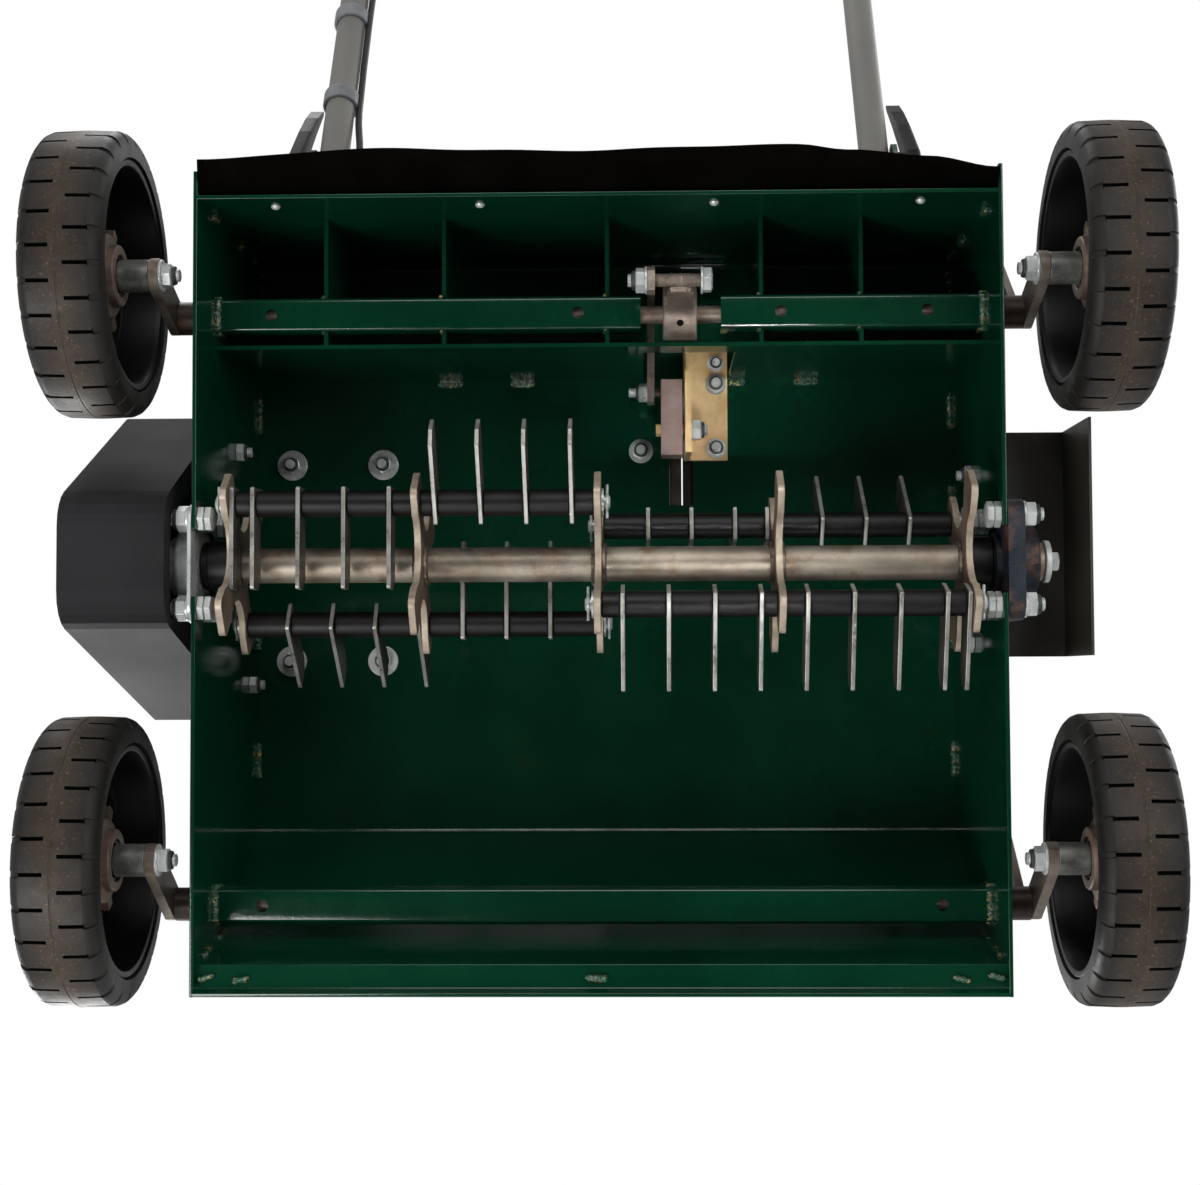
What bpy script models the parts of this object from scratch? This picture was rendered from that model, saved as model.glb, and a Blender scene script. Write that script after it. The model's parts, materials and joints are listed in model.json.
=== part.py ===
"""Petrol scarifier: an open steel deck on four wheels, with swinging blades on a belt-driven rotor.

Metres, +Z up, the nose towards -Y and the handle towards +Y. The ground under the wheels is Z = 0.
Places along the machine are measured from the rotor's axis and turned into Y by along().
"""
import math

import bmesh
import bpy
from mathutils import Matrix, Vector

# Clearances, how far joined shapes run into each other, and how far a cutter runs past a face
GAP = 0.0003
RUN = 0.0004
LOOSE = 0.002
BITE = 0.001
PAST = 0.010

# Deck
HALF_WIDTH = 0.289
SHEET = 0.003
RIM_Z = 0.0867
TOP_Z = 0.3104
NOSE_Y = -0.305
BEND_Y = -0.209
BEND_RUN = 0.005
BEND_DROP = 0.004
WING_DROP = 0.020
SHOULDER_Y = -0.272
SHOULDER_Z = 0.200
LIP_DEPTH = 0.019
LIP_RISE = 0.010
REAR_Y = 0.2625
WING_Y = 0.2815
NOTCH_WIDTH = 0.048
BAFFLE_Y = 0.165
BAFFLE_LOW_Z = 0.152
WINDOW_LOW_Z = 0.180
FIN_X = (0.204, 0.1156, -0.0063, -0.121, -0.1953)
TUBE_SIDE = 0.025
TUBE_WALL = 0.002
TUBE_GAP_LEFT = -0.031
TUBE_GAP_RIGHT = -0.091
FLAP_THICK = 0.003
FLAP_TOP_Z = 0.128
FLAP_FLARE = 0.026
FLAP_EDGE_Z = 0.080
FLAP_BEND_LOW = 0.003
FLAP_BEND_HIGH = 0.012
FLAP_BEND_OUT = 0.008

# Rotor
ROTOR_Z = 0.1296
ROTOR_TUBE_RADIUS = 0.01275
SHAFT_RADIUS = 0.010
PLATE_THICK = 0.005
END_PLATE_X = HALF_WIDTH - 0.024
MIDDLE_PLATE_X = END_PLATE_X - 0.1355
PLATE_X = (END_PLATE_X, MIDDLE_PLATE_X, 0.0, -MIDDLE_PLATE_X, -END_PLATE_X)
LOBE_REACH = 0.0715
LOBE_WIDTH = 0.031
LOBE_STRAIGHT = 0.052
LOBE_CORNER = 0.006
WAIST = 0.026
ROD_CIRCLE = 0.0526
ROD_RADIUS = 0.005
ROD_OVERHANG = 0.008
ROD_ANGLE = 53.9
SLEEVE_RADIUS = 0.0095
END_SLEEVE_RADIUS = 0.019
BLADE_THICK = 0.003
BLADE_WIDTH = 0.025
BLADE_REACH = 0.0615
BLADE_TAIL = 0.0115
BLADE_BEVEL = 0.008
BLADE_PITCH = 0.03246
LEFT_UPPER_FIRST = END_PLATE_X - 0.0194
LEFT_LOWER_FIRST = END_PLATE_X - 0.0336
RIGHT_LOWER_FIRST = -0.0177
RIGHT_UPPER_FIRST = -0.036

# Bearings and belt drive
BEARING_SIDE = 0.086
BEARING_FLANGE = 0.012
BEARING_CORNER = 0.014
BEARING_BODY_RADIUS = 0.031
BEARING_BODY = 0.011
BEARING_SLOPE = 0.0025
BEARING_NOSE_RADIUS = 0.021
BEARING_NOSE = 0.010
SHAFT_END_LEFT = HALF_WIDTH + 0.068
SHAFT_END_RIGHT = HALF_WIDTH + 0.042
COVER_IN_X = HALF_WIDTH + 0.016
COVER_OUT_X = HALF_WIDTH + 0.092
COVER_SHEET = 0.002
COVER_LIP = 0.019
COVER_CORNER = 0.028
COVER_MOUTH_CORNER = 0.012
COVER_DROP = 0.0576
COVER_CROWN = 0.017
COVER_SOLE_Y = (-0.041, 0.044)
COVER_SIDE_Y = (-0.117, 0.127)
COVER_KNEE = (0.2184, 0.1264)
COVER_POST_RADIUS = 0.0075
COVER_POSTS = ((0.101, 0.0964), (-0.0875, 0.150))
BELT_X = HALF_WIDTH + 0.051
BELT_WIDTH = 0.011
BELT_THICK = 0.008
PULLEY_WIDTH = 0.021
ROTOR_PULLEY_RADIUS = 0.045
ENGINE_PULLEY_RADIUS = 0.055
GROOVE_DEPTH = 0.007
GROOVE_PLAY = 0.0015
GUARD_SHEET = 0.002
GUARD_X = -HALF_WIDTH - 0.066
GUARD_FRONT_Y = -0.068
GUARD_REAR_Y = 0.104
GUARD_WEB_Z = 0.206
GUARD_SKIRT_Z = 0.118
GUARD_FLANGE = 0.020

# Wheels, axles and the height linkage
WHEEL_RADIUS = 0.1028
WHEEL_IN_X = HALF_WIDTH + 0.044
WHEEL_WIDTH = 0.058
RIM_RADIUS = 0.084
RIM_WALL = 0.004
RIM_TAPER = 0.003
RIM_SINK = 0.004
TYRE_SHOULDER = (0.004, 0.007)
WEB_DEPTH = 0.020
WEB_THICK = 0.008
HUB_RADIUS = 0.024
HUB_STEP = 0.006
HUB_FLARE = 0.020
HUB_SINK = 0.012
HUB_IN_X = WHEEL_IN_X + 0.013
STUB_RADIUS = 0.0075
STUB_INNER_END = 0.008
STUB_OUTER_END = 0.006
SPACER_RADIUS = 0.0105
AXLE_Z = 0.162
REAR_AXLE_Y = 0.189
FRONT_AXLE_Y = -0.250
REAR_WHEEL_Y = 0.2093
FRONT_WHEEL_Y = -0.2118
AXLE_RADIUS = 0.0065
AXLE_BOSS_RADIUS = 0.0135
AXLE_BOSS_X = HALF_WIDTH + 0.016
ARM_X = HALF_WIDTH + 0.027
ARM_THICK = 0.007
ARM_WIDTH = 0.025
CRANK_X = -HALF_WIDTH - 0.0195
CRANK_THICK = 0.006
CRANK_WIDTH = 0.021
CRANK_OUT = 0.055
CRANK_UP = 0.075
TIE_WIDTH = 0.018
TIE_THICK = 0.005
PIN_RADIUS = 0.004
PIN_END = 0.003
COLLAR_RADIUS = 0.021
COLLAR_X = -0.0605
COLLAR_WIDTH = 0.025
TONGUE_WIDTH = 0.018
TONGUE_THICK = 0.021
TONGUE_Y = 0.206
TONGUE_Z = 0.118
TONGUE_BOLT_LEFT = -0.029
TONGUE_BOLT_RIGHT = -0.080
BOLT_RADIUS = 0.005
LINK_X = -0.039
LINK_THICK = 0.0055
LINK_WIDTH = 0.020
LINK_KNEE_Y = 0.216
LINK_KNEE_Z = 0.172
LEVER_PIVOT_Y = 0.115
LEVER_PIVOT_Z = 0.262
LEVER_PIN_Y = 0.145
LEVER_PIN_Z = 0.260
LEVER_BLOCK_LEFT = -0.047
LEVER_BLOCK_RIGHT = -0.064
LEVER_BLOCK_FRONT_Y = 0.0934
LEVER_BLOCK_REAR_Y = 0.1542
LEVER_BLOCK_LOW_Z = 0.248
LEVER_BLOCK_HEIGHT = 0.026
LEVER_THICK = 0.006
LEVER_WIDTH = 0.025
LEVER_LENGTH = 0.430
LEVER_LEAN = 10.0
KNOB_RADIUS = 0.017
KNOB_HALF = 0.034
SLOT_X = -0.064
SLOT_WIDTH = 0.0187
SLOT_FRONT_Y = 0.059
SLOT_REAR_Y = 0.150
BRACKET_OUT_X = -0.102
BRACKET_IN_X = -0.066
BRACKET_THICK = 0.005
BRACKET_FRONT_Y = 0.0955
BRACKET_REAR_Y = 0.161
BRACKET_LOW_Z = 0.246
BRACKET_TAIL = 0.030
PIVOT_BOLT_ENDS = (0.010, 0.004)

# Handle
HANDLE_X = HALF_WIDTH - 0.061
HANDLE_RADIUS = 0.0125
HANDLE_FOOT_Y = 0.322
FOLD_Y = 0.345
FOLD_Z = 0.3267
HANDLE_KNEE_Y = 0.560
HANDLE_SLOPE = 32.9
HANDLE_TOP_Y = 1.100
HANDLE_TOP_Z = 0.990
HANDLE_BEND = 0.070
EAR_THICK = 0.004
EAR_FOOT_Y = 0.215
EAR_RISE = 0.013
EAR_EYE = 0.018
EAR_FOOT_WIDTH = 0.020
CLAMP_PIVOT_RADIUS = 0.011
CLAMP_THICK = 0.014
CLAMP_BLADE_HALF = 0.0083
CLAMP_BLADE_THICK = 0.0084
CLAMP_LENGTH = 0.090
CLAMP_SLOPE = 39.0
GRIP_RADIUS = 0.016
GRIP_LENGTH = 0.300
BAIL_DROP = 0.120
BAIL_REACH = 0.125
BAIL_X = HANDLE_X - 0.028
BAIL_WIRE = 0.004
BAIL_BEND = 0.009
BAIL_OPEN = 35.0
THROTTLE_DROP = 0.200
THROTTLE_HOUSING = (0.022, 0.046, 0.030)
THROTTLE_EDGE = 0.004
THROTTLE_ARM = 0.055
THROTTLE_ARM_WIDTH = 0.014
THROTTLE_ARM_THICK = 0.006
THUMB_LEAN = 0.2
CABLE_RADIUS = 0.003
CABLE_END = 0.004
CABLE_EXIT_DROP = 0.006
CABLE_JOIN_IN = 0.022

# Engine
ENGINE_X = HALF_WIDTH - 0.0692
ENGINE_Y = 0.0127
CRANK_HEIGHT = 0.106
CRANK_DEPTH = 0.020
BOSS_RADIUS = 0.034
BOSS_RISE = 0.006
ENGINE_FACE_X = HALF_WIDTH + 0.003
ENGINE_BASE_X = 0.130
ENGINE_BASE_Y = 0.190
ENGINE_FOOT = 0.018
FOOT_EDGE = 0.004
CASE_BACK_X = HALF_WIDTH - 0.139
CASE_DEPTH = 0.156
CASE_HEIGHT = 0.160
CASE_EDGE = 0.012
CYLINDER_SIDE = 0.104
CYLINDER_START = 0.045
CYLINDER_LENGTH = 0.095
CYLINDER_LEAN = 25.0
CYLINDER_EDGE = 0.010
FAN_RADIUS = 0.105
FAN_EDGE = 0.013
FAN_BACK_X = HALF_WIDTH - 0.294
RECOIL_RADIUS = 0.085
RECOIL_EDGE = 0.011
RECOIL_BACK_X = FAN_BACK_X - 0.024
TANK_LENGTH = 0.166
TANK_WIDTH = 0.230
TANK_HEIGHT = 0.100
TANK_EDGE = 0.022
TANK_OVERHANG = 0.012
CAP_RADIUS = 0.028
CAP_HEIGHT = 0.022
PORT_RADIUS = 0.016
MUFFLER_SIZE = (0.120, 0.105, 0.085)
MUFFLER_EDGE = 0.014
MUFFLER_CLEAR = 0.008
CLEANER_SIZE = (0.110, 0.120, 0.120)
CLEANER_EDGE = 0.012
CLEANER_CLEAR = 0.004
STARTER_PULL = 0.160
ROPE_RADIUS = 0.002
ROPE_RISE = 0.021
STARTER_GRIP_RADIUS = 0.010
STARTER_GRIP_LENGTH = 0.026
STARTER_BAR_HALF = 0.030
STARTER_BAR_Y = 0.020
STARTER_BAR_RADIUS = 0.009

ROUND = 16
SMALL_ROUND = 10
TYRE_ROUND = 32
BELT_STEPS = 12

ROTOR_Y = -(FRONT_WHEEL_Y - WHEEL_RADIUS + HANDLE_TOP_Y + GRIP_RADIUS) / 2


def along(y):
    """A place measured along the machine from the rotor's axis, as a world Y."""
    return ROTOR_Y + y


for old in list(bpy.data.objects):
    bpy.data.objects.remove(old, do_unlink=True)
PARTS = bpy.data.collections.new("petrol_scarifier")
CUTTERS = bpy.data.collections.new("cutters")
for group in (PARTS, CUTTERS):
    bpy.context.scene.collection.children.link(group)


def loose(name, data):
    """A working shape, kept with the cutters until piece() takes it up."""
    obj = bpy.data.objects.new(name, data)
    CUTTERS.objects.link(obj)
    obj.hide_render = True
    obj.display_type = "WIRE"
    return obj


def smooth(mesh):
    mesh.shade_smooth()
    mesh.set_sharp_from_angle(angle=math.radians(35))


def box(low, high, bevel=0.0):
    """A block between two corners, with an optional edge bevel."""
    low, high = Vector(low), Vector(high)
    mesh = bpy.data.meshes.new("block")
    bm = bmesh.new()
    bmesh.ops.create_cube(bm, size=1.0, matrix=Matrix.Diagonal((high - low).to_4d()))
    bm.to_mesh(mesh)
    bm.free()
    obj = loose("block", mesh)
    obj.location = (low + high) / 2
    if bevel:
        edge = obj.modifiers.new("edges", "BEVEL")
        edge.width = bevel
        edge.segments = 2
        smooth(mesh)
    return obj


def rod(start, end, radius, sides=ROUND):
    """A round bar from one point to another."""
    start, end = Vector(start), Vector(end)
    mesh = bpy.data.meshes.new("bar")
    bm = bmesh.new()
    bmesh.ops.create_cone(bm, cap_ends=True, segments=sides, radius1=radius, radius2=radius,
                          depth=(end - start).length)
    bm.to_mesh(mesh)
    bm.free()
    smooth(mesh)
    obj = loose("bar", mesh)
    obj.location = (start + end) / 2
    obj.rotation_mode = "QUATERNION"
    obj.rotation_quaternion = (end - start).to_track_quat("Z", "Y")
    return obj


def clear(radius, sides=ROUND, play=RUN):
    """The radius of a faceted bore whose flats still clear a bar of the given radius."""
    return (radius + play) / math.cos(math.pi / sides)


def turned(profile, y, z, ring=False, steps=ROUND):
    """A solid turned about a line along X; the profile is (radius, X), from the +X end to the -X end."""
    mesh = bpy.data.meshes.new("turned")
    bm = bmesh.new()
    verts = [bm.verts.new((radius, 0.0, x)) for radius, x in profile]
    for first, second in zip(verts, verts[1:]):
        bm.edges.new((first, second))
    if ring:
        bm.edges.new((verts[-1], verts[0]))
    bm.to_mesh(mesh)
    bm.free()
    obj = loose("turned", mesh)
    obj.location = (0.0, y, z)
    obj.rotation_euler = (0.0, math.pi / 2, 0.0)
    screw = obj.modifiers.new("turn", "SCREW")
    screw.steps = steps
    screw.render_steps = steps
    screw.use_merge_vertices = True
    screw.merge_threshold = 0.0001
    screw.use_smooth_shade = True
    return obj


def as_mesh(curve):
    """The curve object's evaluated solid as a welded mesh object at the same place."""
    bpy.context.view_layer.update()
    graph = bpy.context.evaluated_depsgraph_get()
    mesh = bpy.data.meshes.new_from_object(curve.evaluated_get(graph))
    bm = bmesh.new()
    bm.from_mesh(mesh)
    bmesh.ops.remove_doubles(bm, verts=bm.verts, dist=0.00001)
    bm.to_mesh(mesh)
    bm.free()
    smooth(mesh)
    obj = loose("solid", mesh)
    obj.matrix_world = curve.matrix_world.copy()
    bpy.data.objects.remove(curve, do_unlink=True)
    return obj


PLATE_TURN = {"X": (math.pi / 2, 0.0, math.pi / 2), "Z": (0.0, 0.0, 0.0)}


def plate(outline, middle, thickness, holes=(), normal="X"):
    """A flat plate: its outline and holes are (Y, Z) points, or (X, Y) points where it lies flat."""
    data = bpy.data.curves.new("outline", "CURVE")
    data.dimensions = "2D"
    data.fill_mode = "BOTH"
    data.extrude = thickness / 2
    centre = Vector(outline[0])
    for loop in [outline] + list(holes):
        spline = data.splines.new("POLY")
        spline.points.add(len(loop) - 1)
        for point, place in zip(spline.points, loop):
            point.co = (place[0] - centre[0], place[1] - centre[1], 0.0, 1.0)
        spline.use_cyclic_u = True
    curve = loose("outline", data)
    curve.rotation_euler = PLATE_TURN[normal]
    curve.location = (middle, *centre) if normal == "X" else (*centre, middle)
    return as_mesh(curve)


def tube(points, radius, resolution=2):
    """A round bar or wire along a list of points."""
    data = bpy.data.curves.new("route", "CURVE")
    data.dimensions = "3D"
    data.bevel_depth = radius
    data.bevel_resolution = resolution
    data.use_fill_caps = True
    spline = data.splines.new("POLY")
    spline.points.add(len(points) - 1)
    for point, place in zip(spline.points, points):
        point.co = (*place, 1.0)
    return as_mesh(loose("route", data))


def sheet(profile, low, high, thickness, direction="X"):
    """Bent sheet metal: an open profile of (Y, Z), or (X, Z) along Y, made thick on both sides."""
    mesh = bpy.data.meshes.new("sheet")
    bm = bmesh.new()
    rows = []
    for end in (low, high):
        places = [(end, a, b) if direction == "X" else (a, end, b) for a, b in profile]
        rows.append([bm.verts.new(place) for place in places])
    for index in range(len(profile) - 1):
        bm.faces.new((rows[0][index], rows[0][index + 1], rows[1][index + 1], rows[1][index]))
    bm.to_mesh(mesh)
    bm.free()
    obj = loose("sheet", mesh)
    solid = obj.modifiers.new("gauge", "SOLIDIFY")
    solid.thickness = thickness
    solid.offset = 0.0
    solid.use_even_offset = True
    return obj


def arc(y, z, radius, start, end, steps):
    """Points on a circle between two angles in degrees, from +Y towards +Z."""
    angles = [math.radians(start + (end - start) * step / steps) for step in range(steps + 1)]
    return [(y + radius * math.cos(angle), z + radius * math.sin(angle)) for angle in angles]


def circle(y, z, radius, sides=SMALL_ROUND):
    return arc(y, z, radius, 0.0, 360.0, sides)[:-1]


def rounded(points, radius, steps=4, closed=True):
    """The same path with each corner turned into an arc."""
    points = [Vector(point) for point in points]
    path = [] if closed else [points[0]]
    for index in range(0 if closed else 1, len(points) if closed else len(points) - 1):
        here = points[index]
        back = (points[index - 1] - here).normalized()
        ahead = (points[(index + 1) % len(points)] - here).normalized()
        half = back.angle(ahead) / 2
        centre = here + (back + ahead).normalized() * radius / math.sin(half)
        first = here + back * radius / math.tan(half) - centre
        last = here + ahead * radius / math.tan(half) - centre
        path += [centre + first.slerp(last, step / steps) * radius for step in range(steps + 1)]
    if not closed:
        path.append(points[-1])
    return [tuple(point) for point in path]


def inset(points, distance):
    """A convex outline, listed anticlockwise, moved inwards all round."""
    moved = []
    for index, point in enumerate(points):
        here = Vector(point)
        before = (here - Vector(points[index - 1])).normalized()
        after = (Vector(points[(index + 1) % len(points)]) - here).normalized()
        inwards = Vector((-before.y - after.y, before.x + after.x)).normalized()
        moved.append(tuple(here + inwards * distance / inwards.dot((-before.y, before.x))))
    return moved


def strap(points, half_width, steps=4):
    """The outline of a flat bar with round ends along a path of (Y, Z) points."""
    path = [Vector(point) for point in points]
    sides = ([], [])
    for index in range(1, len(path) - 1):
        before = (path[index] - path[index - 1]).normalized()
        after = (path[index + 1] - path[index]).normalized()
        across = Vector((-before.y - after.y, before.x + after.x)).normalized()
        across *= half_width / across.dot((-before.y, before.x))
        sides[0].append(tuple(path[index] - across))
        sides[1].append(tuple(path[index] + across))
    first = math.degrees(math.atan2(*reversed(path[1] - path[0])))
    last = math.degrees(math.atan2(*reversed(path[-1] - path[-2])))
    head = arc(path[-1].x, path[-1].y, half_width, last - 90, last + 90, steps)
    tail = arc(path[0].x, path[0].y, half_width, first + 90, first + 270, steps)
    return sides[0] + head + sides[1][::-1] + tail


def colour(code):
    """An sRGB hex colour as the linear colour that a shader takes."""
    parts = [int(code[at:at + 2], 16) / 255 for at in (0, 2, 4)]
    return [part / 12.92 if part <= 0.04045 else ((part + 0.055) / 1.055) ** 2.4 for part in parts] + [1.0]


def piece(name, shape, look, add=(), cut=(), hold=None):
    """Makes a working shape into a named part: joins and cuts it, colours it and hangs it on its axis."""
    shape.name = name
    shape.data.name = name
    CUTTERS.objects.unlink(shape)
    PARTS.objects.link(shape)
    shape.hide_render = False
    shape.display_type = "TEXTURED"
    for operation, others in (("UNION", add), ("DIFFERENCE", cut)):
        for number, other in enumerate(others):
            step = shape.modifiers.new(operation.lower() + str(number), "BOOLEAN")
            step.operation = operation
            step.object = other
    code, roughness, metallic = look
    finish = bpy.data.materials.new(name + "_finish")
    finish.use_nodes = True
    shader = finish.node_tree.nodes["Principled BSDF"]
    shader.inputs["Base Color"].default_value = colour(code)
    shader.inputs["Roughness"].default_value = roughness
    shader.inputs["Metallic"].default_value = metallic
    shape.data.materials.clear()
    shape.data.materials.append(finish)
    if hold:
        bpy.context.view_layer.update()
        shape.parent = hold
        shape.matrix_parent_inverse = hold.matrix_world.inverted()
    return shape


def axis(name, x, y, z, hold=None):
    """An empty on a joint's axis, which the moving pieces hang from."""
    empty = bpy.data.objects.new(name, None)
    PARTS.objects.link(empty)
    empty.location = (x, y, z)
    if hold:
        bpy.context.view_layer.update()
        empty.parent = hold
        empty.matrix_parent_inverse = hold.matrix_world.inverted()
    bpy.context.view_layer.update()
    return empty


GREEN_PAINT = ("0b3d2a", 0.25, 0.0)
BLACK_RUBBER = ("1d1c1b", 0.8, 0.0)
BLACK_PLASTIC = ("191919", 0.45, 0.0)
CHARCOAL_SHEET = ("37363a", 0.45, 0.0)
OLIVE_SHEET = ("2b2822", 0.5, 0.0)
WARM_STEEL = ("8a7d70", 0.4, 0.8)
BRIGHT_ZINC = ("a9a9a6", 0.3, 1.0)
DARK_IRON = ("2c3038", 0.5, 0.6)
GOLD_ZINC = ("c9a36a", 0.35, 0.9)
BROWN_STEEL = ("6b5a55", 0.45, 0.7)
GREY_TUBE = ("8e8c86", 0.4, 0.5)
CAST_ALLOY = ("8b8b88", 0.5, 0.7)
RED_ENAMEL = ("a3221c", 0.3, 0.0)

# Deck: one bent centre sheet welded between two side walls, open underneath
WALL_IN = HALF_WIDTH - SHEET
WALL_X = HALF_WIDTH - SHEET / 2
TOP_FACE_Z = TOP_Z + SHEET / 2
ROOF_Z = TOP_Z - SHEET / 2
REAR_FACE_Y = REAR_Y + SHEET / 2
LIP_Z = RIM_Z + LIP_RISE
centre_profile = [
    (along(REAR_Y), RIM_Z), (along(REAR_Y), TOP_Z), (along(BEND_Y + BEND_RUN), TOP_Z),
    (along(BEND_Y - BEND_RUN), TOP_Z - BEND_DROP), (along(SHOULDER_Y), SHOULDER_Z),
    (along(NOSE_Y + LIP_DEPTH), LIP_Z), (along(NOSE_Y + SHEET), LIP_Z - SHEET), (along(NOSE_Y), RIM_Z),
]
wall_outline = [
    (along(NOSE_Y - SHEET / 2), RIM_Z), (along(WING_Y), RIM_Z), (along(WING_Y), TOP_FACE_Z - WING_DROP),
    (along(REAR_FACE_Y), TOP_FACE_Z), (along(BEND_Y - BITE), TOP_FACE_Z),
    (along(SHOULDER_Y - SHEET / 2), SHOULDER_Z + SHEET / 2),
    (along(NOSE_Y + LIP_DEPTH - SHEET), LIP_Z + SHEET), (along(NOSE_Y - SHEET / 2), LIP_Z),
]
notch_half = NOTCH_WIDTH / 2
walls = [plate(wall_outline, side * WALL_X, SHEET) for side in (1, -1)]
bosses = [
    rod((side * (HALF_WIDTH - BITE), along(y), AXLE_Z), (side * AXLE_BOSS_X, along(y), AXLE_Z),
        AXLE_BOSS_RADIUS)
    for side in (1, -1) for y in (REAR_AXLE_Y, FRONT_AXLE_Y)
]
deck_cuts = [
    box((-HALF_WIDTH - PAST, along(-notch_half), RIM_Z - PAST),
        (HALF_WIDTH + PAST, along(notch_half), ROTOR_Z + notch_half)),
    box((SLOT_X - SLOT_WIDTH / 2, along(SLOT_FRONT_Y), ROOF_Z - PAST),
        (SLOT_X + SLOT_WIDTH / 2, along(SLOT_REAR_Y), TOP_FACE_Z + PAST)),
]
for axle_y in (REAR_AXLE_Y, FRONT_AXLE_Y):
    bore_ends = [(x, along(axle_y), AXLE_Z) for x in (-AXLE_BOSS_X - PAST, AXLE_BOSS_X + PAST)]
    deck_cuts.append(rod(*bore_ends, clear(AXLE_RADIUS, SMALL_ROUND), SMALL_ROUND))
piece("deck_shell", sheet(centre_profile, -WALL_X, WALL_X, SHEET), GREEN_PAINT, walls + bosses, deck_cuts)

# Baffle with its five fins, and the square tubes that the axles run in
half_tube = TUBE_SIDE / 2
grid_in = WALL_IN - GAP
baffle = box((-grid_in, along(BAFFLE_Y) - SHEET / 2, BAFFLE_LOW_Z),
             (grid_in, along(BAFFLE_Y) + SHEET / 2, ROOF_Z - GAP))
fins = [box((x - SHEET / 2, along(BAFFLE_Y), BAFFLE_LOW_Z),
            (x + SHEET / 2, along(REAR_Y) - SHEET / 2 - GAP, ROOF_Z - GAP)) for x in FIN_X]
window = box((BRACKET_OUT_X - BITE, along(BAFFLE_Y) - PAST, WINDOW_LOW_Z),
             (TUBE_GAP_LEFT - LOOSE, along(BAFFLE_Y) + PAST, TOP_Z))
tube_space = box((-HALF_WIDTH, along(REAR_AXLE_Y) - half_tube - GAP, AXLE_Z - half_tube - GAP),
                 (HALF_WIDTH, along(REAR_AXLE_Y) + half_tube + GAP, AXLE_Z + half_tube + GAP))
piece("divider_grid", baffle, GREEN_PAINT, fins, [window, tube_space])


def square_tube(name, low_x, high_x, y):
    inner = half_tube - TUBE_WALL
    outside = box((low_x, along(y) - half_tube, AXLE_Z - half_tube),
                  (high_x, along(y) + half_tube, AXLE_Z + half_tube))
    bore = box((low_x - PAST, along(y) - inner, AXLE_Z - inner),
               (high_x + PAST, along(y) + inner, AXLE_Z + inner))
    piece(name, outside, GREEN_PAINT, cut=[bore])


square_tube("front_cross_tube", -grid_in, grid_in, FRONT_AXLE_Y)
square_tube("rear_cross_tube_left", TUBE_GAP_LEFT, grid_in, REAR_AXLE_Y)
square_tube("rear_cross_tube_right", -grid_in, TUBE_GAP_RIGHT, REAR_AXLE_Y)

# Rubber flap hung on the outside of the rear wall
flap_y = along(REAR_FACE_Y) + GAP + FLAP_THICK / 2
flap_profile = [(flap_y, FLAP_TOP_Z), (flap_y, RIM_Z + FLAP_BEND_HIGH),
                (flap_y + FLAP_BEND_OUT, RIM_Z + FLAP_BEND_LOW), (flap_y + FLAP_FLARE, FLAP_EDGE_Z)]
piece("rubber_flap", sheet(flap_profile, -WALL_IN + GAP, WALL_IN - GAP, FLAP_THICK), BLACK_RUBBER)

# Rotor: a tube with five four-lobed plates, turning on a shaft in two flanged bearings
rotor_axis = axis("rotor_axis", 0.0, along(0.0), ROTOR_Z)
ROD_ANGLES = {"left_upper": ROD_ANGLE, "left_lower": ROD_ANGLE + 180.0,
              "right_lower": ROD_ANGLE - 90.0, "right_upper": ROD_ANGLE + 90.0}


def rod_place(angle, radius=ROD_CIRCLE):
    """A place round the rotor; the angle runs from straight down towards the rear."""
    turn = math.radians(angle)
    return along(radius * math.sin(turn)), ROTOR_Z - radius * math.cos(turn)


def lobed_outline():
    """Four lobes at right angles, with a hollow arc between each two."""
    half = LOBE_WIDTH / 2
    near = WAIST / math.sqrt(2)
    middle = (LOBE_STRAIGHT ** 2 + half ** 2 - 2 * near ** 2) / (2 * (LOBE_STRAIGHT + half - 2 * near))
    radius = math.hypot(LOBE_STRAIGHT - middle, half - middle)
    start = math.degrees(math.atan2(half - middle, LOBE_STRAIGHT - middle))
    flat = half - LOBE_CORNER
    lobe = [(LOBE_REACH - LOBE_CORNER, -half), (LOBE_REACH, -flat), (LOBE_REACH, flat),
            (LOBE_REACH - LOBE_CORNER, half)] + arc(middle, middle, radius, start, -270.0 - start, 3)
    outline = []
    for quarter in range(4):
        turn = math.radians(ROD_ANGLE - 90.0 + 90.0 * quarter)
        outline += [(along(u * math.cos(turn) - v * math.sin(turn)),
                     ROTOR_Z + u * math.sin(turn) + v * math.cos(turn)) for u, v in lobe]
    return outline


rod_holes = [circle(*rod_place(angle), clear(ROD_RADIUS, SMALL_ROUND)) for angle in ROD_ANGLES.values()]
shaft_line = [(x, along(0.0), ROTOR_Z) for x in (-SHAFT_END_RIGHT, SHAFT_END_LEFT)]
rotor_parts = [plate(lobed_outline(), x, PLATE_THICK, rod_holes) for x in PLATE_X]
tube_line = [(x, along(0.0), ROTOR_Z) for x in (-END_PLATE_X, END_PLATE_X)]
rotor_parts.append(rod(*shaft_line, SHAFT_RADIUS))
piece("rotor_frame", rod(*tube_line, ROTOR_TUBE_RADIUS), WARM_STEEL, rotor_parts, hold=rotor_axis)

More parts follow.
